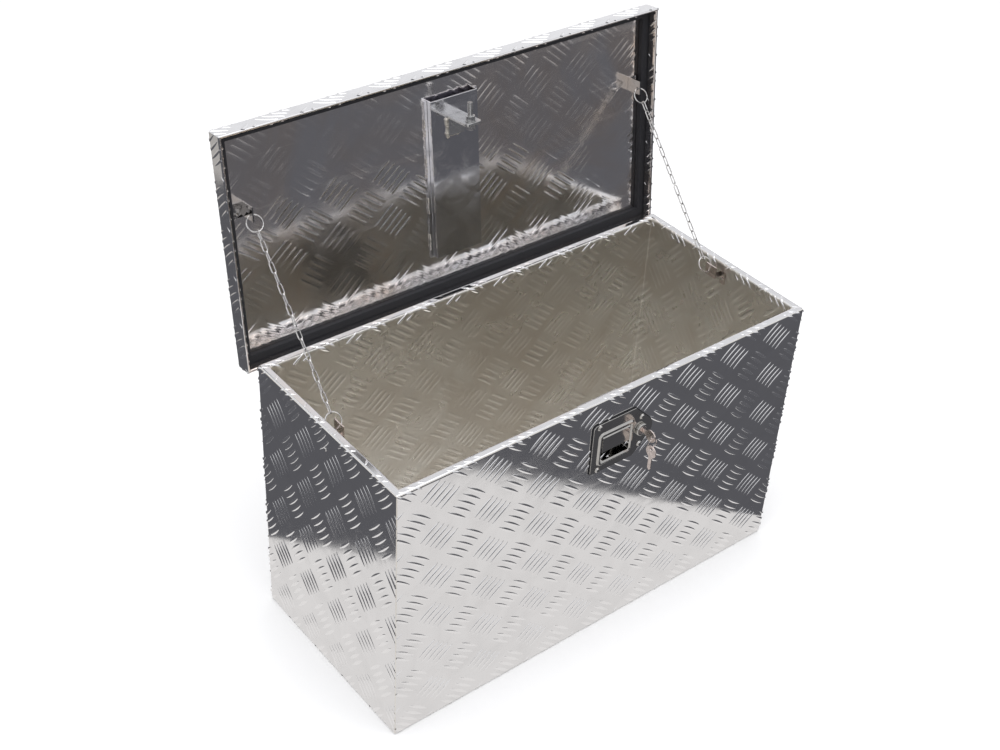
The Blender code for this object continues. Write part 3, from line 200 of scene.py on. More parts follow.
soft_box("overhead", (-0.2, -0.3, 2.6), (2.0, 1.4), 22)
soft_box("left_fill", (-2.4, -0.4, 1.5), (1.2, 1.2), 6)

# %% [markdown]
# Three effects are used by more than one finish, so each is a node group with named inputs. A group only
# puts out masks and values, and every material keeps its own Principled shader.
# Rolled sheet is never quite flat: it has a soft waviness, a fine grain and a few handling smudges.
# The rollers that press the tread bars into one side leave their print on the plain side as hazy strokes.

# %% Node helpers


class Net:
    """Short names for building a node tree."""

    def __init__(self, tree):
        self.tree = tree

    def link(self, value, socket):
        self.tree.links.new(value, socket)

    def add(self, kind, inputs=None, **settings):
        """A node with its settings. An input is linked if its value is a socket, and set if not."""
        node = self.tree.nodes.new(kind)
        for name, value in settings.items():
            setattr(node, name, value)
        for name, value in (inputs or {}).items():
            if isinstance(value, bpy.types.NodeSocket):
                self.link(value, node.inputs[name])
            else:
                node.inputs[name].default_value = value
        return node

    def noise(self, place, scale, detail, **more):
        inputs = {"Vector": place, "Scale": scale, "Detail": detail, **more}
        return self.add("ShaderNodeTexNoise", inputs).outputs[0]

    def mix(self, kind, share, low, high):
        """Two values, places or colours mixed by a share."""
        inputs = {"Factor": share, "A": low, "B": high}
        return self.add("ShaderNodeMix", inputs, data_type=kind).outputs["Result"]

    def math(self, operation, a, b=None, clamp=False):
        values = {0: a} if b is None else {0: a, 1: b}
        return self.add("ShaderNodeMath", values, operation=operation, use_clamp=clamp).outputs[0]

    def span(self, value, low, high, to_low=0.0, to_high=1.0):
        """A value mapped from one range onto another."""
        inputs = {"Value": value, "From Min": low, "From Max": high, "To Min": to_low, "To Max": to_high}
        return self.add("ShaderNodeMapRange", inputs).outputs[0]


def group_of(name, inputs, outputs):
    """An empty shader node group with its sockets and their defaults."""
    made = bpy.data.node_groups.new(name, 'ShaderNodeTree')
    for label, kind, value in inputs:
        socket = made.interface.new_socket(label, in_out='INPUT', socket_type=kind)
        if value is not None:
            socket.default_value = value
    for label, kind in outputs:
        made.interface.new_socket(label, in_out='OUTPUT', socket_type=kind)
    net = Net(made)
    return made, net, net.add("NodeGroupInput").outputs, net.add("NodeGroupOutput")


# %% [markdown]
# The solids carry no tread pattern, so the pattern is laid out here, on the same sheet sizes as theirs.

# %% Sizes of the sheets and of their pattern
HALF_X, HALF_Y, TALL = 0.3825, 0.1729, 0.4631       # the tub
FOLD, FLANGE, LIP = 0.0032, 0.013, 0.014            # its folds, rim flange and turned-down lip
LID_HALF, LID_FRONT, LID_REAR = 0.3921, 0.1827, 0.1820
LID_LOW, LID_TOP, LID_FOLD = 0.4479, 0.4752, 0.002  # as it lies when shut
GROUP_PITCH = (0.0915, 0.0750)      # along the sheet and across it
BAR_ANGLE = math.radians(39.3)      # the bars follow the diagonal of that cell
BAR_STEP = (0.0081, 0.0071)         # from one bar of a group to the next
BAR_LENGTH, BAR_WIDTH, BAR_HEIGHT = 0.044, 0.0056, 0.0011
BARS_IN_GROUP = 5
FRONT_PHASE = (0.0700, 0.0275)      # where the first group's centre falls on the front
SIDE_PHASE = (0.0470, 0.0560)       # and on the ends
LID_PHASE = (0.0520, 0.0305)        # and on the lid

# %% Group: rolled sheet
FLOAT, VECTOR = 'NodeSocketFloat', 'NodeSocketVector'
sheet_group, net, put_in, result = group_of(
    "rolled sheet", [("Vector", VECTOR, None), ("Wave Size", FLOAT, 8.0), ("Smudge Size", FLOAT, 18.0)],
    [("Height", FLOAT), ("Smudge", FLOAT)])
place = put_in["Vector"]
wave = net.noise(place, put_in["Wave Size"], 2.0)
fine = net.noise(place, 900.0, 2.0)
height = net.math('ADD', wave, net.math('MULTIPLY', fine, 0.015))
smear = net.noise(place, put_in["Smudge Size"], 5.0, Roughness=0.6, Distortion=0.8)
net.link(height, result.inputs["Height"])
net.link(net.span(smear, 0.42, 0.68), result.inputs["Smudge"])
print("group", sheet_group.name)

# %% Group: scratches
scratch_group, net, put_in, result = group_of(
    "fine scratches", [("Vector", VECTOR, None), ("Size", FLOAT, 60.0)], [("Mask", FLOAT)])
masks = []
for turn, seed in ((0.3, 3.0), (1.1, 9.0), (2.2, 17.0)):
    placed = net.add("ShaderNodeMapping", {"Vector": put_in["Vector"], "Rotation": (turn, turn * 0.7, turn),
                                           "Location": (seed, seed, 0), "Scale": (0.04, 1.0, 1.0)})
    streak = net.noise(placed.outputs[0], put_in["Size"], 1.0)
    masks.append(net.span(streak, 0.68, 0.73))
mask = net.math('MAXIMUM', net.math('MAXIMUM', masks[0], masks[1]), masks[2], clamp=True)
net.link(mask, result.inputs["Mask"])
print("group", scratch_group.name)

# %% Group: print-through
print_group, net, put_in, result = group_of(
    "print-through", [("Vector", VECTOR, None)], [("Height", FLOAT)])
parts = net.add("ShaderNodeSeparateXYZ", {0: put_in["Vector"]}).outputs[:2]
c, s = math.cos(BAR_ANGLE), math.sin(BAR_ANGLE)
bar_gap = BAR_STEP[0] * s + BAR_STEP[1] * c
bar_lean = (BAR_STEP[0] * c - BAR_STEP[1] * s) / bar_gap
hills = []
for shift, side in ((0.5, 1), (0.0, -1)):
    cell = [net.math('FRACT', net.math('ADD', net.math('DIVIDE', part, pitch), shift))
            for part, pitch in zip(parts, GROUP_PITCH)]
    x, y = [net.math('MULTIPLY', net.math('SUBTRACT', part, 0.5), pitch * turn)
            for part, pitch, turn in zip(cell, GROUP_PITCH, (1, side))]
    along = net.math('SUBTRACT', net.math('MULTIPLY', x, c), net.math('MULTIPLY', y, s))
    across = net.math('ADD', net.math('MULTIPLY', x, s), net.math('MULTIPLY', y, c))
    ridge = net.span(net.math('COSINE', net.math('MULTIPLY', across, 2 * math.pi / bar_gap)), -0.3, 1.0)
    reach = net.math('ABSOLUTE', net.math('SUBTRACT', along, net.math('MULTIPLY', across, bar_lean)))
    ends = net.math('MULTIPLY', net.span(reach, BAR_LENGTH * 0.53, BAR_LENGTH * 0.36),
                    net.span(net.math('ABSOLUTE', across), bar_gap * 2.55, bar_gap * 2.3))
    hills.append(net.math('MULTIPLY', ridge, ends))
net.link(net.math('MAXIMUM', *hills), result.inputs["Height"])
print("group", print_group.name)

# %% [markdown]
# The finishes are all bare metal, apart from the black seal. Aluminium reflects about nine tenths of the
# light, nickel seven tenths and stainless half. What sets them apart is roughness: the tread face is bright,
# the inside is hazier, the latch is polished and the keys are slightly pink.
# A zone is a block of space in which a sheet has another look. It keeps the inside of the tub, of the lid and
# of the stiffener apart from their outsides, although each is one solid. Part of each zone's colour is
# painted
# light: the warm tint inside the tub and the lid is painted warm reflection, and the dark inside of the
# stiffener is painted shade.

# %% Metal finishes


def turned(net, place, shut):
    """Coordinates of the lid as it lies when shut, so that its masks can be written level."""
    if not shut:
        return place
    inputs = {"Vector": place, "Center": (0, HINGE[0], HINGE[1]), "Angle": OPEN}
    return net.add("ShaderNodeVectorRotate", inputs, rotation_type='X_AXIS').outputs[0]


def inside_of(net, place, low, high):
    """One inside the block between two corners, nought outside it."""
    middle = [(a + b) / 2 for a, b in zip(low, high)]
    half = [(b - a) / 2 for a, b in zip(low, high)]
    away = net.add("ShaderNodeVectorMath", {0: place, 1: middle}, operation='SUBTRACT').outputs[0]
    away = net.add("ShaderNodeVectorMath", {0: away}, operation='ABSOLUTE').outputs[0]
    parts = net.add("ShaderNodeSeparateXYZ", {0: away}).outputs
    marks = [net.math('LESS_THAN', part, size) for part, size in zip(parts, half)]
    return net.math('MULTIPLY', net.math('MULTIPLY', marks[0], marks[1]), marks[2])


def tub_sheet(net, place):
    """A place of the tub's inside as it lies on the flat sheet, from the centre of a tread group."""
    x, y, z = net.add("ShaderNodeSeparateXYZ", {0: place}).outputs
    rear = net.math('GREATER_THAN', y, HALF_Y - 0.01)
    climb = net.math('MULTIPLY', z, net.math('SUBTRACT', net.math('MULTIPLY', rear, 2.0), 1.0))
    run = net.math('ADD', net.math('ADD', y, TALL + HALF_Y - FRONT_PHASE[1]), climb)
    shift = net.math('ADD', x, HALF_X - FRONT_PHASE[0])
    long_way = net.add("ShaderNodeCombineXYZ", {0: shift, 1: run}).outputs[0]
    right = net.math('GREATER_THAN', x, 0.0)
    turn = net.math('SUBTRACT', net.math('MULTIPLY', right, 2.0), 1.0)
    down = net.math('MULTIPLY', net.math('ADD', z, SIDE_PHASE[1] - TALL), turn)
    level = net.math('SUBTRACT', y, net.math('MULTIPLY', turn, SIDE_PHASE[0] - HALF_Y))
    end_wall = net.add("ShaderNodeCombineXYZ", {0: down, 1: level}).outputs[0]
    at_end = net.math('GREATER_THAN', net.math('ABSOLUTE', x), HALF_X - 0.01)
    return net.mix('VECTOR', at_end, long_way, end_wall)


def lid_sheet(net, place):
    """A place of the lid's panel as it lies on the flat sheet."""
    x, y, _ = net.add("ShaderNodeSeparateXYZ", {0: place}).outputs
    shift = net.math('ADD', x, LID_HALF - LID_PHASE[0])
    run = net.math('SUBTRACT', LID_REAR - LID_PHASE[1], y)
    return net.add("ShaderNodeCombineXYZ", {0: shift, 1: run}).outputs[0]


def opaque(colour):
    return (*colour, 1)


def zoned(net, place, zone, wave, tone, rough, height):
    """Tone, roughness and height with the zone's look inside it: real patchy haze in the roughness, patches
    of painted tint (warm reflection in the tub and lid, shade in the stiffener), and the print of the tread
    bars.
    """
    mark = inside_of(net, place, zone["low"], zone["high"])
    ghost = net.add("ShaderNodeGroup", {"Vector": zone["sheet"](net, place)}, node_tree=print_group)
    haze_and_tint = net.noise(place, zone["patch"], 4.0, Roughness=0.55, Distortion=1.2)
    worn = net.noise(place, 14.0, 3.0, Distortion=0.5)
    stroke = net.math('MULTIPLY', ghost.outputs["Height"], net.span(worn, 0.35, 0.65, 0.25, 1.0))
    # patches tinted in colour: painted warm reflection in the tub and lid, painted shade in the stiffener
    painted_tint_patches = net.mix('RGBA', net.span(haze_and_tint, 0.38, 0.64), opaque(zone["colour"]), opaque(zone["painted_patch_tint"]))
    drawn = net.mix('RGBA', net.math('MULTIPLY', stroke, zone["stroke"]), painted_tint_patches, opaque(zone["bright"]))
    hazy = net.math('ADD', net.math('MULTIPLY', haze_and_tint, zone["rough_patch"]), zone["rough"])
    hazy = net.math('ADD', hazy, net.math('MULTIPLY', stroke, zone["rough_stroke"]))
    pressed = net.math('MULTIPLY', net.math('MULTIPLY', stroke, mark), zone["depth"] / wave)
    tone, rough = net.mix('RGBA', mark, tone, drawn), net.mix('FLOAT', mark, rough, hazy)
    return tone, rough, net.math('ADD', height, pressed)


WAVE_SIZE, SCRATCH_SIZE = 8.0, 60.0     # waves and scratches to the metre
SCRATCH_ROUGH = 0.05                # roughness that a scratch adds


def metal(name, colour, roughness, wave=0.0008, smudge_size=18.0, smudge_rough=0.06, smudge_dark=0.06,
          zone=None, shut=False):
    """Bare metal: a Principled shader fed by the groups, with another look inside a zone."""
    made = bpy.data.materials.new(name)
    made.use_nodes = True
    net = Net(made.node_tree)
    shader = made.node_tree.nodes["Principled BSDF"]
    shader.inputs["Metallic"].default_value = 1.0
    place = turned(net, net.add("ShaderNodeTexCoord").outputs["Object"], shut)
    inputs = {"Vector": place, "Wave Size": WAVE_SIZE, "Smudge Size": smudge_size}
    sheet = net.add("ShaderNodeGroup", inputs, node_tree=sheet_group)
    marks = net.add("ShaderNodeGroup", {"Vector": place, "Size": SCRATCH_SIZE}, node_tree=scratch_group)
    smudged = [part * (1 - smudge_dark) for part in colour]
    tone = net.mix('RGBA', sheet.outputs["Smudge"], opaque(colour), opaque(smudged))
    rough, height = net.add("ShaderNodeValue").outputs[0], sheet.outputs["Height"]
    rough.default_value = roughness
    if zone:
        tone, rough, height = zoned(net, place, zone, wave, tone, rough, height)
    net.link(tone, shader.inputs["Base Color"])
    rough = net.math('ADD', net.math('MULTIPLY', sheet.outputs["Smudge"], smudge_rough), rough)
    rough = net.math('ADD', rough, net.math('MULTIPLY', marks.outputs["Mask"], SCRATCH_ROUGH), clamp=True)
    net.link(rough, shader.inputs["Roughness"])
    bump = net.add("ShaderNodeBump", {"Height": height, "Strength": 1.0, "Distance": wave})
    net.link(bump.outputs[0], shader.inputs["Normal"])
    return made


# The lid's inside: the warm tint of its patches is painted warm reflection.
LID_ZONE = {
    "low": (-0.3905, -0.1811, 0.40), "high": (0.3905, 0.1804, 0.4744), "sheet": lid_sheet, "patch": 5.0,
    "colour": (0.96, 0.95, 0.96), "painted_patch_tint": (0.95, 0.86, 0.79), "bright": (0.99, 0.98, 0.98),
    "rough": 0.03, "rough_patch": 0.14, "rough_stroke": 0.05, "stroke": 0.25, "depth": 0.00022,
}
# The tub's inside: its warm colour and warmer patches are painted warm reflection.
TUB_ZONE = {
    "low": (-0.3820, -0.1724, 0.001), "high": (0.3820, 0.1724, 0.4624), "sheet": tub_sheet, "patch": 6.0,
    "colour": (0.88, 0.865, 0.825), "painted_patch_tint": (0.78, 0.74, 0.68), "bright": (0.97, 0.95, 0.91),
    "rough": 0.15, "rough_patch": 0.26, "rough_stroke": 0.08, "stroke": 0.75, "depth": 0.0003,
}
# The stiffener's inside: its dark colour, patches and strokes are painted shade.
CHANNEL_SHADE_ZONE = {
    "low": (-0.0405, -0.1347, 0.4641), "high": (0.0405, 0.1190, 0.4733), "sheet": lid_sheet, "patch": 12.0,
    "colour": (0.20, 0.20, 0.24), "painted_patch_tint": (0.12, 0.12, 0.16), "bright": (0.25, 0.25, 0.28),
    "rough": 0.25, "rough_patch": 0.2, "rough_stroke": 0.0, "stroke": 0.2, "depth": 0.0001,
}
TREAD = (0.86, 0.86, 0.87)
finish = {
    "tub": metal("bright tread plate", TREAD, 0.09, wave=0.0006, zone=TUB_ZONE),
    "lid": metal("lid tread plate", TREAD, 0.09, wave=0.0008, zone=LID_ZONE, shut=True),
    "bars": metal("rolled bars", (0.93, 0.93, 0.94), 0.14, wave=0.0003, smudge_dark=0.02),
    "plain": metal("mill sheet", (0.78, 0.77, 0.76), 0.20, wave=0.0004, smudge_dark=0.15),
    # its zone inside the channel is darkened by painted shade
    "channel": metal("channel sheet", (0.80, 0.80, 0.83), 0.07, wave=0.0004, smudge_size=30.0,
                     smudge_rough=0.16, zone=CHANNEL_SHADE_ZONE, shut=True),
    # The lid's chain brackets: this dark base colour is painted shade.
    "strap": metal("chain strap", (0.42, 0.41, 0.41), 0.10, wave=0.0004, smudge_dark=0.15),
    "weld": metal("weld bead", (0.70, 0.66, 0.60), 0.32, wave=0.0004, smudge_size=160.0, smudge_dark=0.35),
    "zinc": metal("zinc steel", (0.66, 0.66, 0.66), 0.24, smudge_size=90.0, smudge_dark=0.2),
    "chain": metal("chain steel", (0.72, 0.71, 0.70), 0.22, smudge_size=200.0, smudge_dark=0.25),
    "polished": metal("polished stainless", (0.52, 0.51, 0.49), 0.07, wave=0.0002, smudge_size=70.0,
                      smudge_dark=0.1),
    "nickel": metal("warm nickel", (0.78, 0.69, 0.65), 0.22, smudge_size=150.0, smudge_dark=0.2),
}
print("finishes", len(finish))

# %% Seal rubber
rubber = bpy.data.materials.new("black seal")
rubber.use_nodes = True
net = Net(rubber.node_tree)
shader = rubber.node_tree.nodes["Principled BSDF"]
pores = net.noise(net.add("ShaderNodeTexCoord").outputs["Object"], 700.0, 3.0)
tone = net.mix('RGBA', pores, opaque((0.006, 0.006, 0.008)), opaque((0.022, 0.022, 0.027)))
bump = net.add("ShaderNodeBump", {"Height": pores, "Distance": 0.0003})
net.link(tone, shader.inputs["Base Color"])
net.link(net.span(pores, 0.3, 0.7, 0.62, 0.85), shader.inputs["Roughness"])
net.link(bump.outputs[0], shader.inputs["Normal"])
finish["seal"] = rubber

# %% [markdown]
# The solid pieces stay as they are. Machined and pressed parts have no knife edges, so most of them get a
# small bevel that catches the light, and each has its own finish. The sheets' folds are round already.

# %% Dress the solid pieces
DRESS = {
    "tub": ("tub", 0.0), "lid": ("lid", 0.0), "lid_seal": ("seal", 0.0008), "latch_gasket": ("seal", 0.0002),
    "hinge_tub_leaf": ("plain", 0.0), "hinge_lid_leaf": ("plain", 0.0), "hinge_pin": ("zinc", 0.0),
    "lid_channel": ("channel", 0.0006), "striker_plate": ("zinc", 0.0006), "key": ("nickel", 0.0003),
    "key_ring": ("nickel", 0.0), "spare_key": ("nickel", 0.0003), "latch_pan": ("polished", 0.0004),
    "latch_frame": ("zinc", 0.0003), "latch_paddle": ("polished", 0.0004), "lock_body": ("polished", 0.0004),
    "lock_plug": ("nickel", 0.0003), "latch_pawl": ("zinc", 0.0004), "lock_nut": ("zinc", 0.0004),
}


def dress(name):
    """A finish, merged vertices and, for most pieces, a small bevel for one solid piece."""
    piece = nodes[name]
    look, width = DRESS.get(name, ("zinc", 0.0002))
    if "links" in name or "ring" in name and "spring" not in name and "key" not in name:
        look, width = "chain", 0.0
    if "rivet" in name:
        look, width = ("polished" if "latch" in name else "plain"), 0.0002
    if "bracket" in name and "rivet" not in name:
        # the lid's brackets take the dark finish whose colour is painted shade
        look = "strap" if name.startswith("lid") else "nickel"
    piece.data.materials.clear()
    piece.data.materials.append(finish[look])
    weld = piece.modifiers.new("weld", 'WELD')
    weld.merge_threshold = 1e-6
    if width:
        bevel = piece.modifiers.new("bevel", 'BEVEL')
        bevel.width = width
        bevel.segments = 2
        bevel.limit_method = 'ANGLE'
        bevel.angle_limit = math.radians(40)
        bevel.use_clamp_overlap = True
    return look


dressed = {name: dress(name) for name in nodes}
print("dressed", len(dressed))

# %% [markdown]
# Tread plate is rolled between engraved rollers, which press raised bars into one side of the sheet: five
# short lens-shaped bars leaning right, then five leaning left, over and over. The box is cut from that sheet
# as a cross and folded up, so on the end walls the pattern is turned by a quarter, and bars run over folds.
# Each bar here is real geometry, because its rounded back mirrors the room differently from the flat sheet.
# A folded sheet is described as a line seen from the side that goes round each fold, and bars are laid on it.

# %% Sheet profile
class Profile:
    """A folded sheet seen from the side: stations of length, place and outward normal."""

    def __init__(self, corners, radius, zero):
        corners = [np.array(c, float) for c in corners]
        places, normals = [], []
        steps = [(b - a) / np.linalg.norm(b - a) for a, b in zip(corners, corners[1:])]
        places.append(corners[0])
        normals.append(np.array((-steps[0][1], steps[0][0])))
        for corner, before, after in zip(corners[1:-1], steps, steps[1:]):
            centre = corner - before * radius + after * radius
            for angle in np.radians((0, 22.5, 45, 67.5, 90)):
                outward = -after * math.cos(angle) + before * math.sin(angle)
                places.append(centre + outward * radius)
                normals.append(outward)
        places.append(corners[-1])
        normals.append(np.array((-steps[-1][1], steps[-1][0])))
        self.places, self.normals = np.array(places), np.array(normals)
        gaps = np.linalg.norm(np.diff(self.places, axis=0), axis=1)
        self.length = np.concatenate(([0], np.cumsum(gaps))) - zero
        self.start, self.end = self.length[0], self.length[-1]

    def at(self, t):
        """Place and outward normal at a length, as two arrays of pairs."""
        place = np.stack([np.interp(t, self.length, self.places[:, i]) for i in (0, 1)], -1)
        normal = np.stack([np.interp(t, self.length, self.normals[:, i]) for i in (0, 1)], -1)
        return place, normal / np.linalg.norm(normal, axis=-1, keepdims=True)


# %% Bars on a sheet
BAR_SECTION = np.array((-1, -0.75, -0.4, 0, 0.4, 0.75, 1))      # places across a bar, in half widths
BAR_FINE, BAR_STATIONS = 41, 9      # places tried along a bar, and sections that it is drawn with
BAR_LEAST = 6                       # of the places tried, so a shorter rest at an edge is left out
BAR_MARGIN = 0.06                   # a group whose centre is this far off the sheet may still reach it
BAR_TAPER, BAR_FALL = 0.9, 0.7      # how its width and its height swell from the tips
BAR_SINK = 0.00005                  # depth of its foot in the sheet
RIM_RISE = 0.4                      # the press brake has flattened the bars on the rim


def steps(low, high, first, pitch):
    """The whole steps from a first place that cover a span, with one to spare at both ends."""
    return range(math.floor((low - first) / pitch) - 1, math.ceil((high - first) / pitch) + 2)


def groups(span, reach, phase, turn):
    """Centre, direction and sideways direction of each bar on a sheet turned by a number of quarters."""
    pitch = GROUP_PITCH if turn % 2 == 0 else GROUP_PITCH[::-1]
    c, s = math.cos(BAR_ANGLE), math.sin(BAR_ANGLE)
    kinds = (((0, 0), (c, -s), (-s, -c), BAR_STEP),
             ((-0.5, 0.5), (c, s), (-s, c), (BAR_STEP[0], -BAR_STEP[1])))

    def spin(v):
        for _ in range(turn % 4):
            v = (-v[1], v[0])
        return np.array(v)

    for i in steps(*span, phase[0], pitch[0]):
        for j in steps(*reach, phase[1], pitch[1]):
            for half, along, aside, step in kinds:
                middle = np.array((phase[0] + (i + half[0]) * pitch[0], phase[1] + (j + half[1]) * pitch[1]))
                if not (span[0] - BAR_MARGIN < middle[0] < span[1] + BAR_MARGIN):
                    continue
                for k in range(BARS_IN_GROUP):
                    yield middle + spin(step) * (k - (BARS_IN_GROUP - 1) / 2), spin(along), spin(aside)


def lay_bars(name, body, profile, span, phase, turn, place, trim):
    """Raised bars on a folded sheet. place(s, flat) makes points of places, and trim(s, flat) picks them."""
    verts, faces = [], []
    row = len(BAR_SECTION)
    for middle, along, aside in groups(span, (profile.start, profile.end), phase, turn):
        fine = np.linspace(-1, 1, BAR_FINE)
        s, t = (middle + np.outer(fine * BAR_LENGTH / 2, along)).T
        inside = (t > profile.start) & (t < profile.end) & (s > span[0]) & (s < span[1])
        inside &= trim(s, profile.at(t)[0])
        if inside.sum() < BAR_LEAST:
            continue
        first, last = np.flatnonzero(inside)[[0, -1]]
        u = np.linspace(fine[first], fine[last], BAR_STATIONS)
        line = middle + np.outer(u * BAR_LENGTH / 2, along)
        start = len(verts)
        for station, swell in zip(line, np.clip(1 - u ** 2, 0, 1) ** BAR_TAPER):
            points = station + np.outer(BAR_SECTION * swell * BAR_WIDTH / 2, aside)
            flat, normal = profile.at(points[:, 1])
            rise = BAR_HEIGHT * swell ** BAR_FALL * (1 - BAR_SECTION ** 2)
            if body == "tub":
                rise = rise * np.interp(flat[:, 1], (TALL - FOLD, TALL - FOLD / 4), (1.0, RIM_RISE))
            verts.extend(place(points[:, 0], flat + normal * (rise - BAR_SINK)[:, None]))
        for i in range(BAR_STATIONS - 1):
            for j in range(row - 1):
                a = start + i * row + j
                faces.append((a, a + 1, a + row + 1, a + row))
    mesh = bpy.data.meshes.new(name)
    mesh.from_pydata(verts, [], faces)
    shape = bmesh.new()
    shape.from_mesh(mesh)
    bmesh.ops.remove_doubles(shape, verts=shape.verts, dist=1e-6)
    for face in shape.faces:
        face.smooth = True
    shape.to_mesh(mesh)
    shape.free()
    mesh.materials.append(finish["bars"])
    piece = add_piece(name, mesh)
    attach(piece, body)
    return len(mesh.polygons) // ((BAR_STATIONS - 1) * (row - 1))


# %% Bars on the tub
TURNS = {"front": 0, "left": 1, "right": 3}     # quarters by which the pattern is turned on a side
ALONG = {"front": (1, 0, 0), "left": (0, -1, 0), "right": (0, 1, 0)}
OUTWARD = {"front": (0, -1, 0), "left": (-1, 0, 0), "right": (1, 0, 0)}
EDGE_GAP = 0.0008                   # bars stop this far from a cut edge
MITRE_GAP, SLACK = 0.0004, 0.001    # where the rim's mitre starts, and what its bars stand out


def wall_place(side, distance, shift=0.0):
    """Sheet places on one wall: s runs along it, and the profile is seen from its end."""
    along, out, up = np.array((ALONG[side], OUTWARD[side], (0, 0, 1)), float)

    def place(s, flat):
        points = np.outer(s, along) + np.outer(distance + flat[:, 0], out) + np.outer(flat[:, 1], up)
        return points + np.array((0, shift, 0))
    return place


def inside_mitre(half, width):
    """Picks the places between two mitred ends of a sheet."""
    def trim(s, flat):
        inward = np.minimum(-flat[:, 0], width + flat[:, 0])
        rim_part = (flat[:, 1] > TALL - LIP - SLACK) & (inward > MITRE_GAP) & (inward < FLANGE + SLACK)
        return np.abs(s) < half - np.where(rim_part, inward, 0.0) - EDGE_GAP
    return trim


rim = [(-FLANGE, TALL - LIP), (-FLANGE, TALL), (0, TALL)]
rear_rim = [(-2 * HALF_Y, TALL), (FLANGE - 2 * HALF_Y, TALL), (FLANGE - 2 * HALF_Y, TALL - LIP)]
lead = LIP + FLANGE - 2 * FOLD + math.pi * FOLD / 2 * 2 - FOLD      # sheet length up to the rim's outer edge
long_way = Profile(rim + [(0, 0), (-2 * HALF_Y, 0)] + rear_rim, FOLD, lead)
short_way = Profile(rim + [(0, FOLD)], FOLD, lead)
made = {"front": lay_bars(
    "tread_front_floor_rear", "tub", long_way, (-HALF_X, HALF_X), (FRONT_PHASE[0] - HALF_X, FRONT_PHASE[1]),
    TURNS["front"], wall_place("front", HALF_Y), inside_mitre(HALF_X, 2 * HALF_Y))}
for side in ("left", "right"):
    made[side] = lay_bars(
        "tread_" + side, "tub", short_way, (-HALF_Y, HALF_Y), (SIDE_PHASE[0] - HALF_Y, SIDE_PHASE[1]),
        TURNS[side], wall_place(side, HALF_X), inside_mitre(HALF_Y, 2 * HALF_X))
print("bars on the tub", made)

# %% Bars on the lid
HEM, SKIRT = 0.015, 0.0044          # height of the hem, and how far its face lies inside the skirt's
PANEL_STRIP = 0.01                  # the strip of the panel at which an end's skirt starts
ENDS_LEAD, HEM_LEAD = 0.0089, -0.0105
ENDS_PHASE = (0.012, 0.008)
END_GAP = 0.001
lid_open = (Matrix.Translation((0, *HINGE)) @ Matrix.Rotation(-OPEN, 4, 'X')
            @ Matrix.Translation((0, -HINGE[0], -HINGE[1])))
lid_turn, lid_shift = np.array(lid_open.to_3x3()), np.array(lid_open.translation)


def opened(place):
    """The same places on the open lid."""
    def moved(s, flat):
        return place(s, flat) @ lid_turn.T + lid_shift
    return moved


def between_ends(s, flat):
    return np.abs(s) < LID_HALF - EDGE_GAP


def below_fold(s, flat):
    return flat[:, 0] > -LID_FOLD * 0.9


def everywhere(s, flat):
    return np.isfinite(s)


depth = LID_FRONT + LID_REAR
middle_y = (LID_REAR - LID_FRONT) / 2
over = Profile([(-depth, LID_LOW), (-depth, LID_TOP), (0, LID_TOP), (0, LID_LOW)], LID_FOLD,
               LID_TOP - LID_LOW - LID_FOLD + math.pi * LID_FOLD / 2 - LID_FOLD)
end_skirt = Profile([(-PANEL_STRIP, LID_TOP), (0, LID_TOP), (0, LID_LOW)], LID_FOLD, ENDS_LEAD)
folded_up = Profile([(-SKIRT, LID_LOW), (-SKIRT, LID_LOW + HEM)], LID_FOLD, HEM_LEAD)
made["lid"] = lay_bars(
    "tread_lid", "lid", over, (-LID_HALF, LID_HALF), (LID_PHASE[0] - LID_HALF, LID_PHASE[1]),
    TURNS["front"], opened(wall_place("front", LID_FRONT)), between_ends)
made["lid ends"] = [lay_bars(
    f"tread_lid_{side}", "lid", end_skirt, (-depth / 2 + END_GAP, depth / 2 - END_GAP), ENDS_PHASE,
    TURNS[side], opened(wall_place(side, LID_HALF, middle_y)), below_fold) for side in ("left", "right")]
for side, reach, half, phase, shift in (
        ("left", LID_HALF, depth / 2, ENDS_PHASE, middle_y),
        ("right", LID_HALF, depth / 2, ENDS_PHASE, middle_y),
        ("front", LID_FRONT, LID_HALF, (LID_PHASE[0], 0.0), 0.0)):
    made[side + " hem"] = lay_bars(
        "tread_hem_" + side, "lid", folded_up, (SKIRT + END_GAP - half, half - SKIRT - END_GAP), phase,
        TURNS[side], opened(wall_place(side, reach, shift)), everywhere)
print("bars", made)

# %% [markdown]
# The striker is welded to the channel by hand: a thick rough bead runs down its left side and a thinner one
# along its lower edge. Short welds along its two feet hold the channel itself.

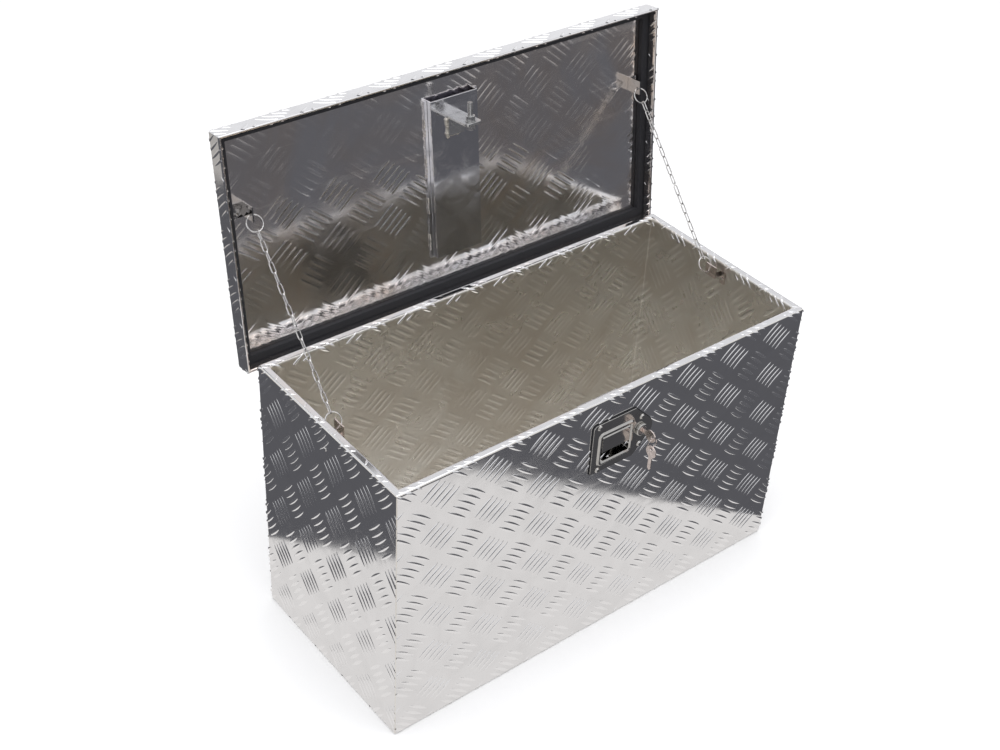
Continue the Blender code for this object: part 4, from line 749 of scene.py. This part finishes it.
# %% Welds
CHANNEL_HALF, CHANNEL_FACE, CHANNEL_ROOT = 0.0425, 0.4621, 0.4713
STRIKER_HALF, STRIKER_Y, STRIKER_LEG = 0.0143, -0.1033, -0.0761
FOOT_WELDS = ((-0.105, -0.080), (-0.045, -0.015), (0.020, 0.045), (0.080, 0.105))   # both ends of each
DROP_SIZES = (0.72, 1.0)            # of a bead's width
DROP_SHIFT, DROP_ROUGH = 0.16, 0.05     # how far a drop, and each of its points, lies out of place


def bead(name, body, start, end, width, height, bumps, seed):
    """A rough weld: overlapping drops along a line, each a little out of place."""
    shape = bmesh.new()
    start, end = Vector(start), Vector(end)
    chance = random.Random(seed)

    def stray(share):
        return Vector([chance.uniform(-share, share) * width for _ in range(3)])

    for i in range(bumps):
        side = stray(DROP_SHIFT)
        size = width * chance.uniform(*DROP_SIZES)
        place = (Matrix.Translation(start.lerp(end, i / (bumps - 1)) + side)
                 @ Matrix.Diagonal((size, size, height / width * size, 1)))
        for vert in bmesh.ops.create_icosphere(shape, subdivisions=2, radius=0.5, matrix=place)["verts"]:
            vert.co += stray(DROP_ROUGH)
    for face in shape.faces:
        face.smooth = True
    mesh = bpy.data.meshes.new(name)
    shape.to_mesh(mesh)
    shape.free()
    mesh.transform(lid_open)
    mesh.materials.append(finish["weld"])
    piece = add_piece(name, mesh)
    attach(piece, body)


foot = (STRIKER_LEG + 0.001, CHANNEL_FACE - 0.0006)
bead("weld_striker_left", "lid", (-STRIKER_HALF - 0.0012, STRIKER_Y + 0.002, CHANNEL_FACE - 0.001),
     (-STRIKER_HALF - 0.0006, *foot), width=0.0066, height=0.0056, bumps=16, seed=3)
bead("weld_striker_low", "lid", (-STRIKER_HALF, *foot), (STRIKER_HALF - 0.009, *foot),
     width=0.0036, height=0.003, bumps=14, seed=5)
for side, turn in (("left", -1), ("right", 1)):
    x, z = turn * (CHANNEL_HALF + 0.0052), CHANNEL_ROOT + 0.0004
    for i, (low, high) in enumerate(FOOT_WELDS):
        bead(f"weld_foot_{side}_{i + 1}", "lid", (x, low, z), (x, high, z),
             width=0.0028, height=0.0018, bumps=12, seed=11 + i)
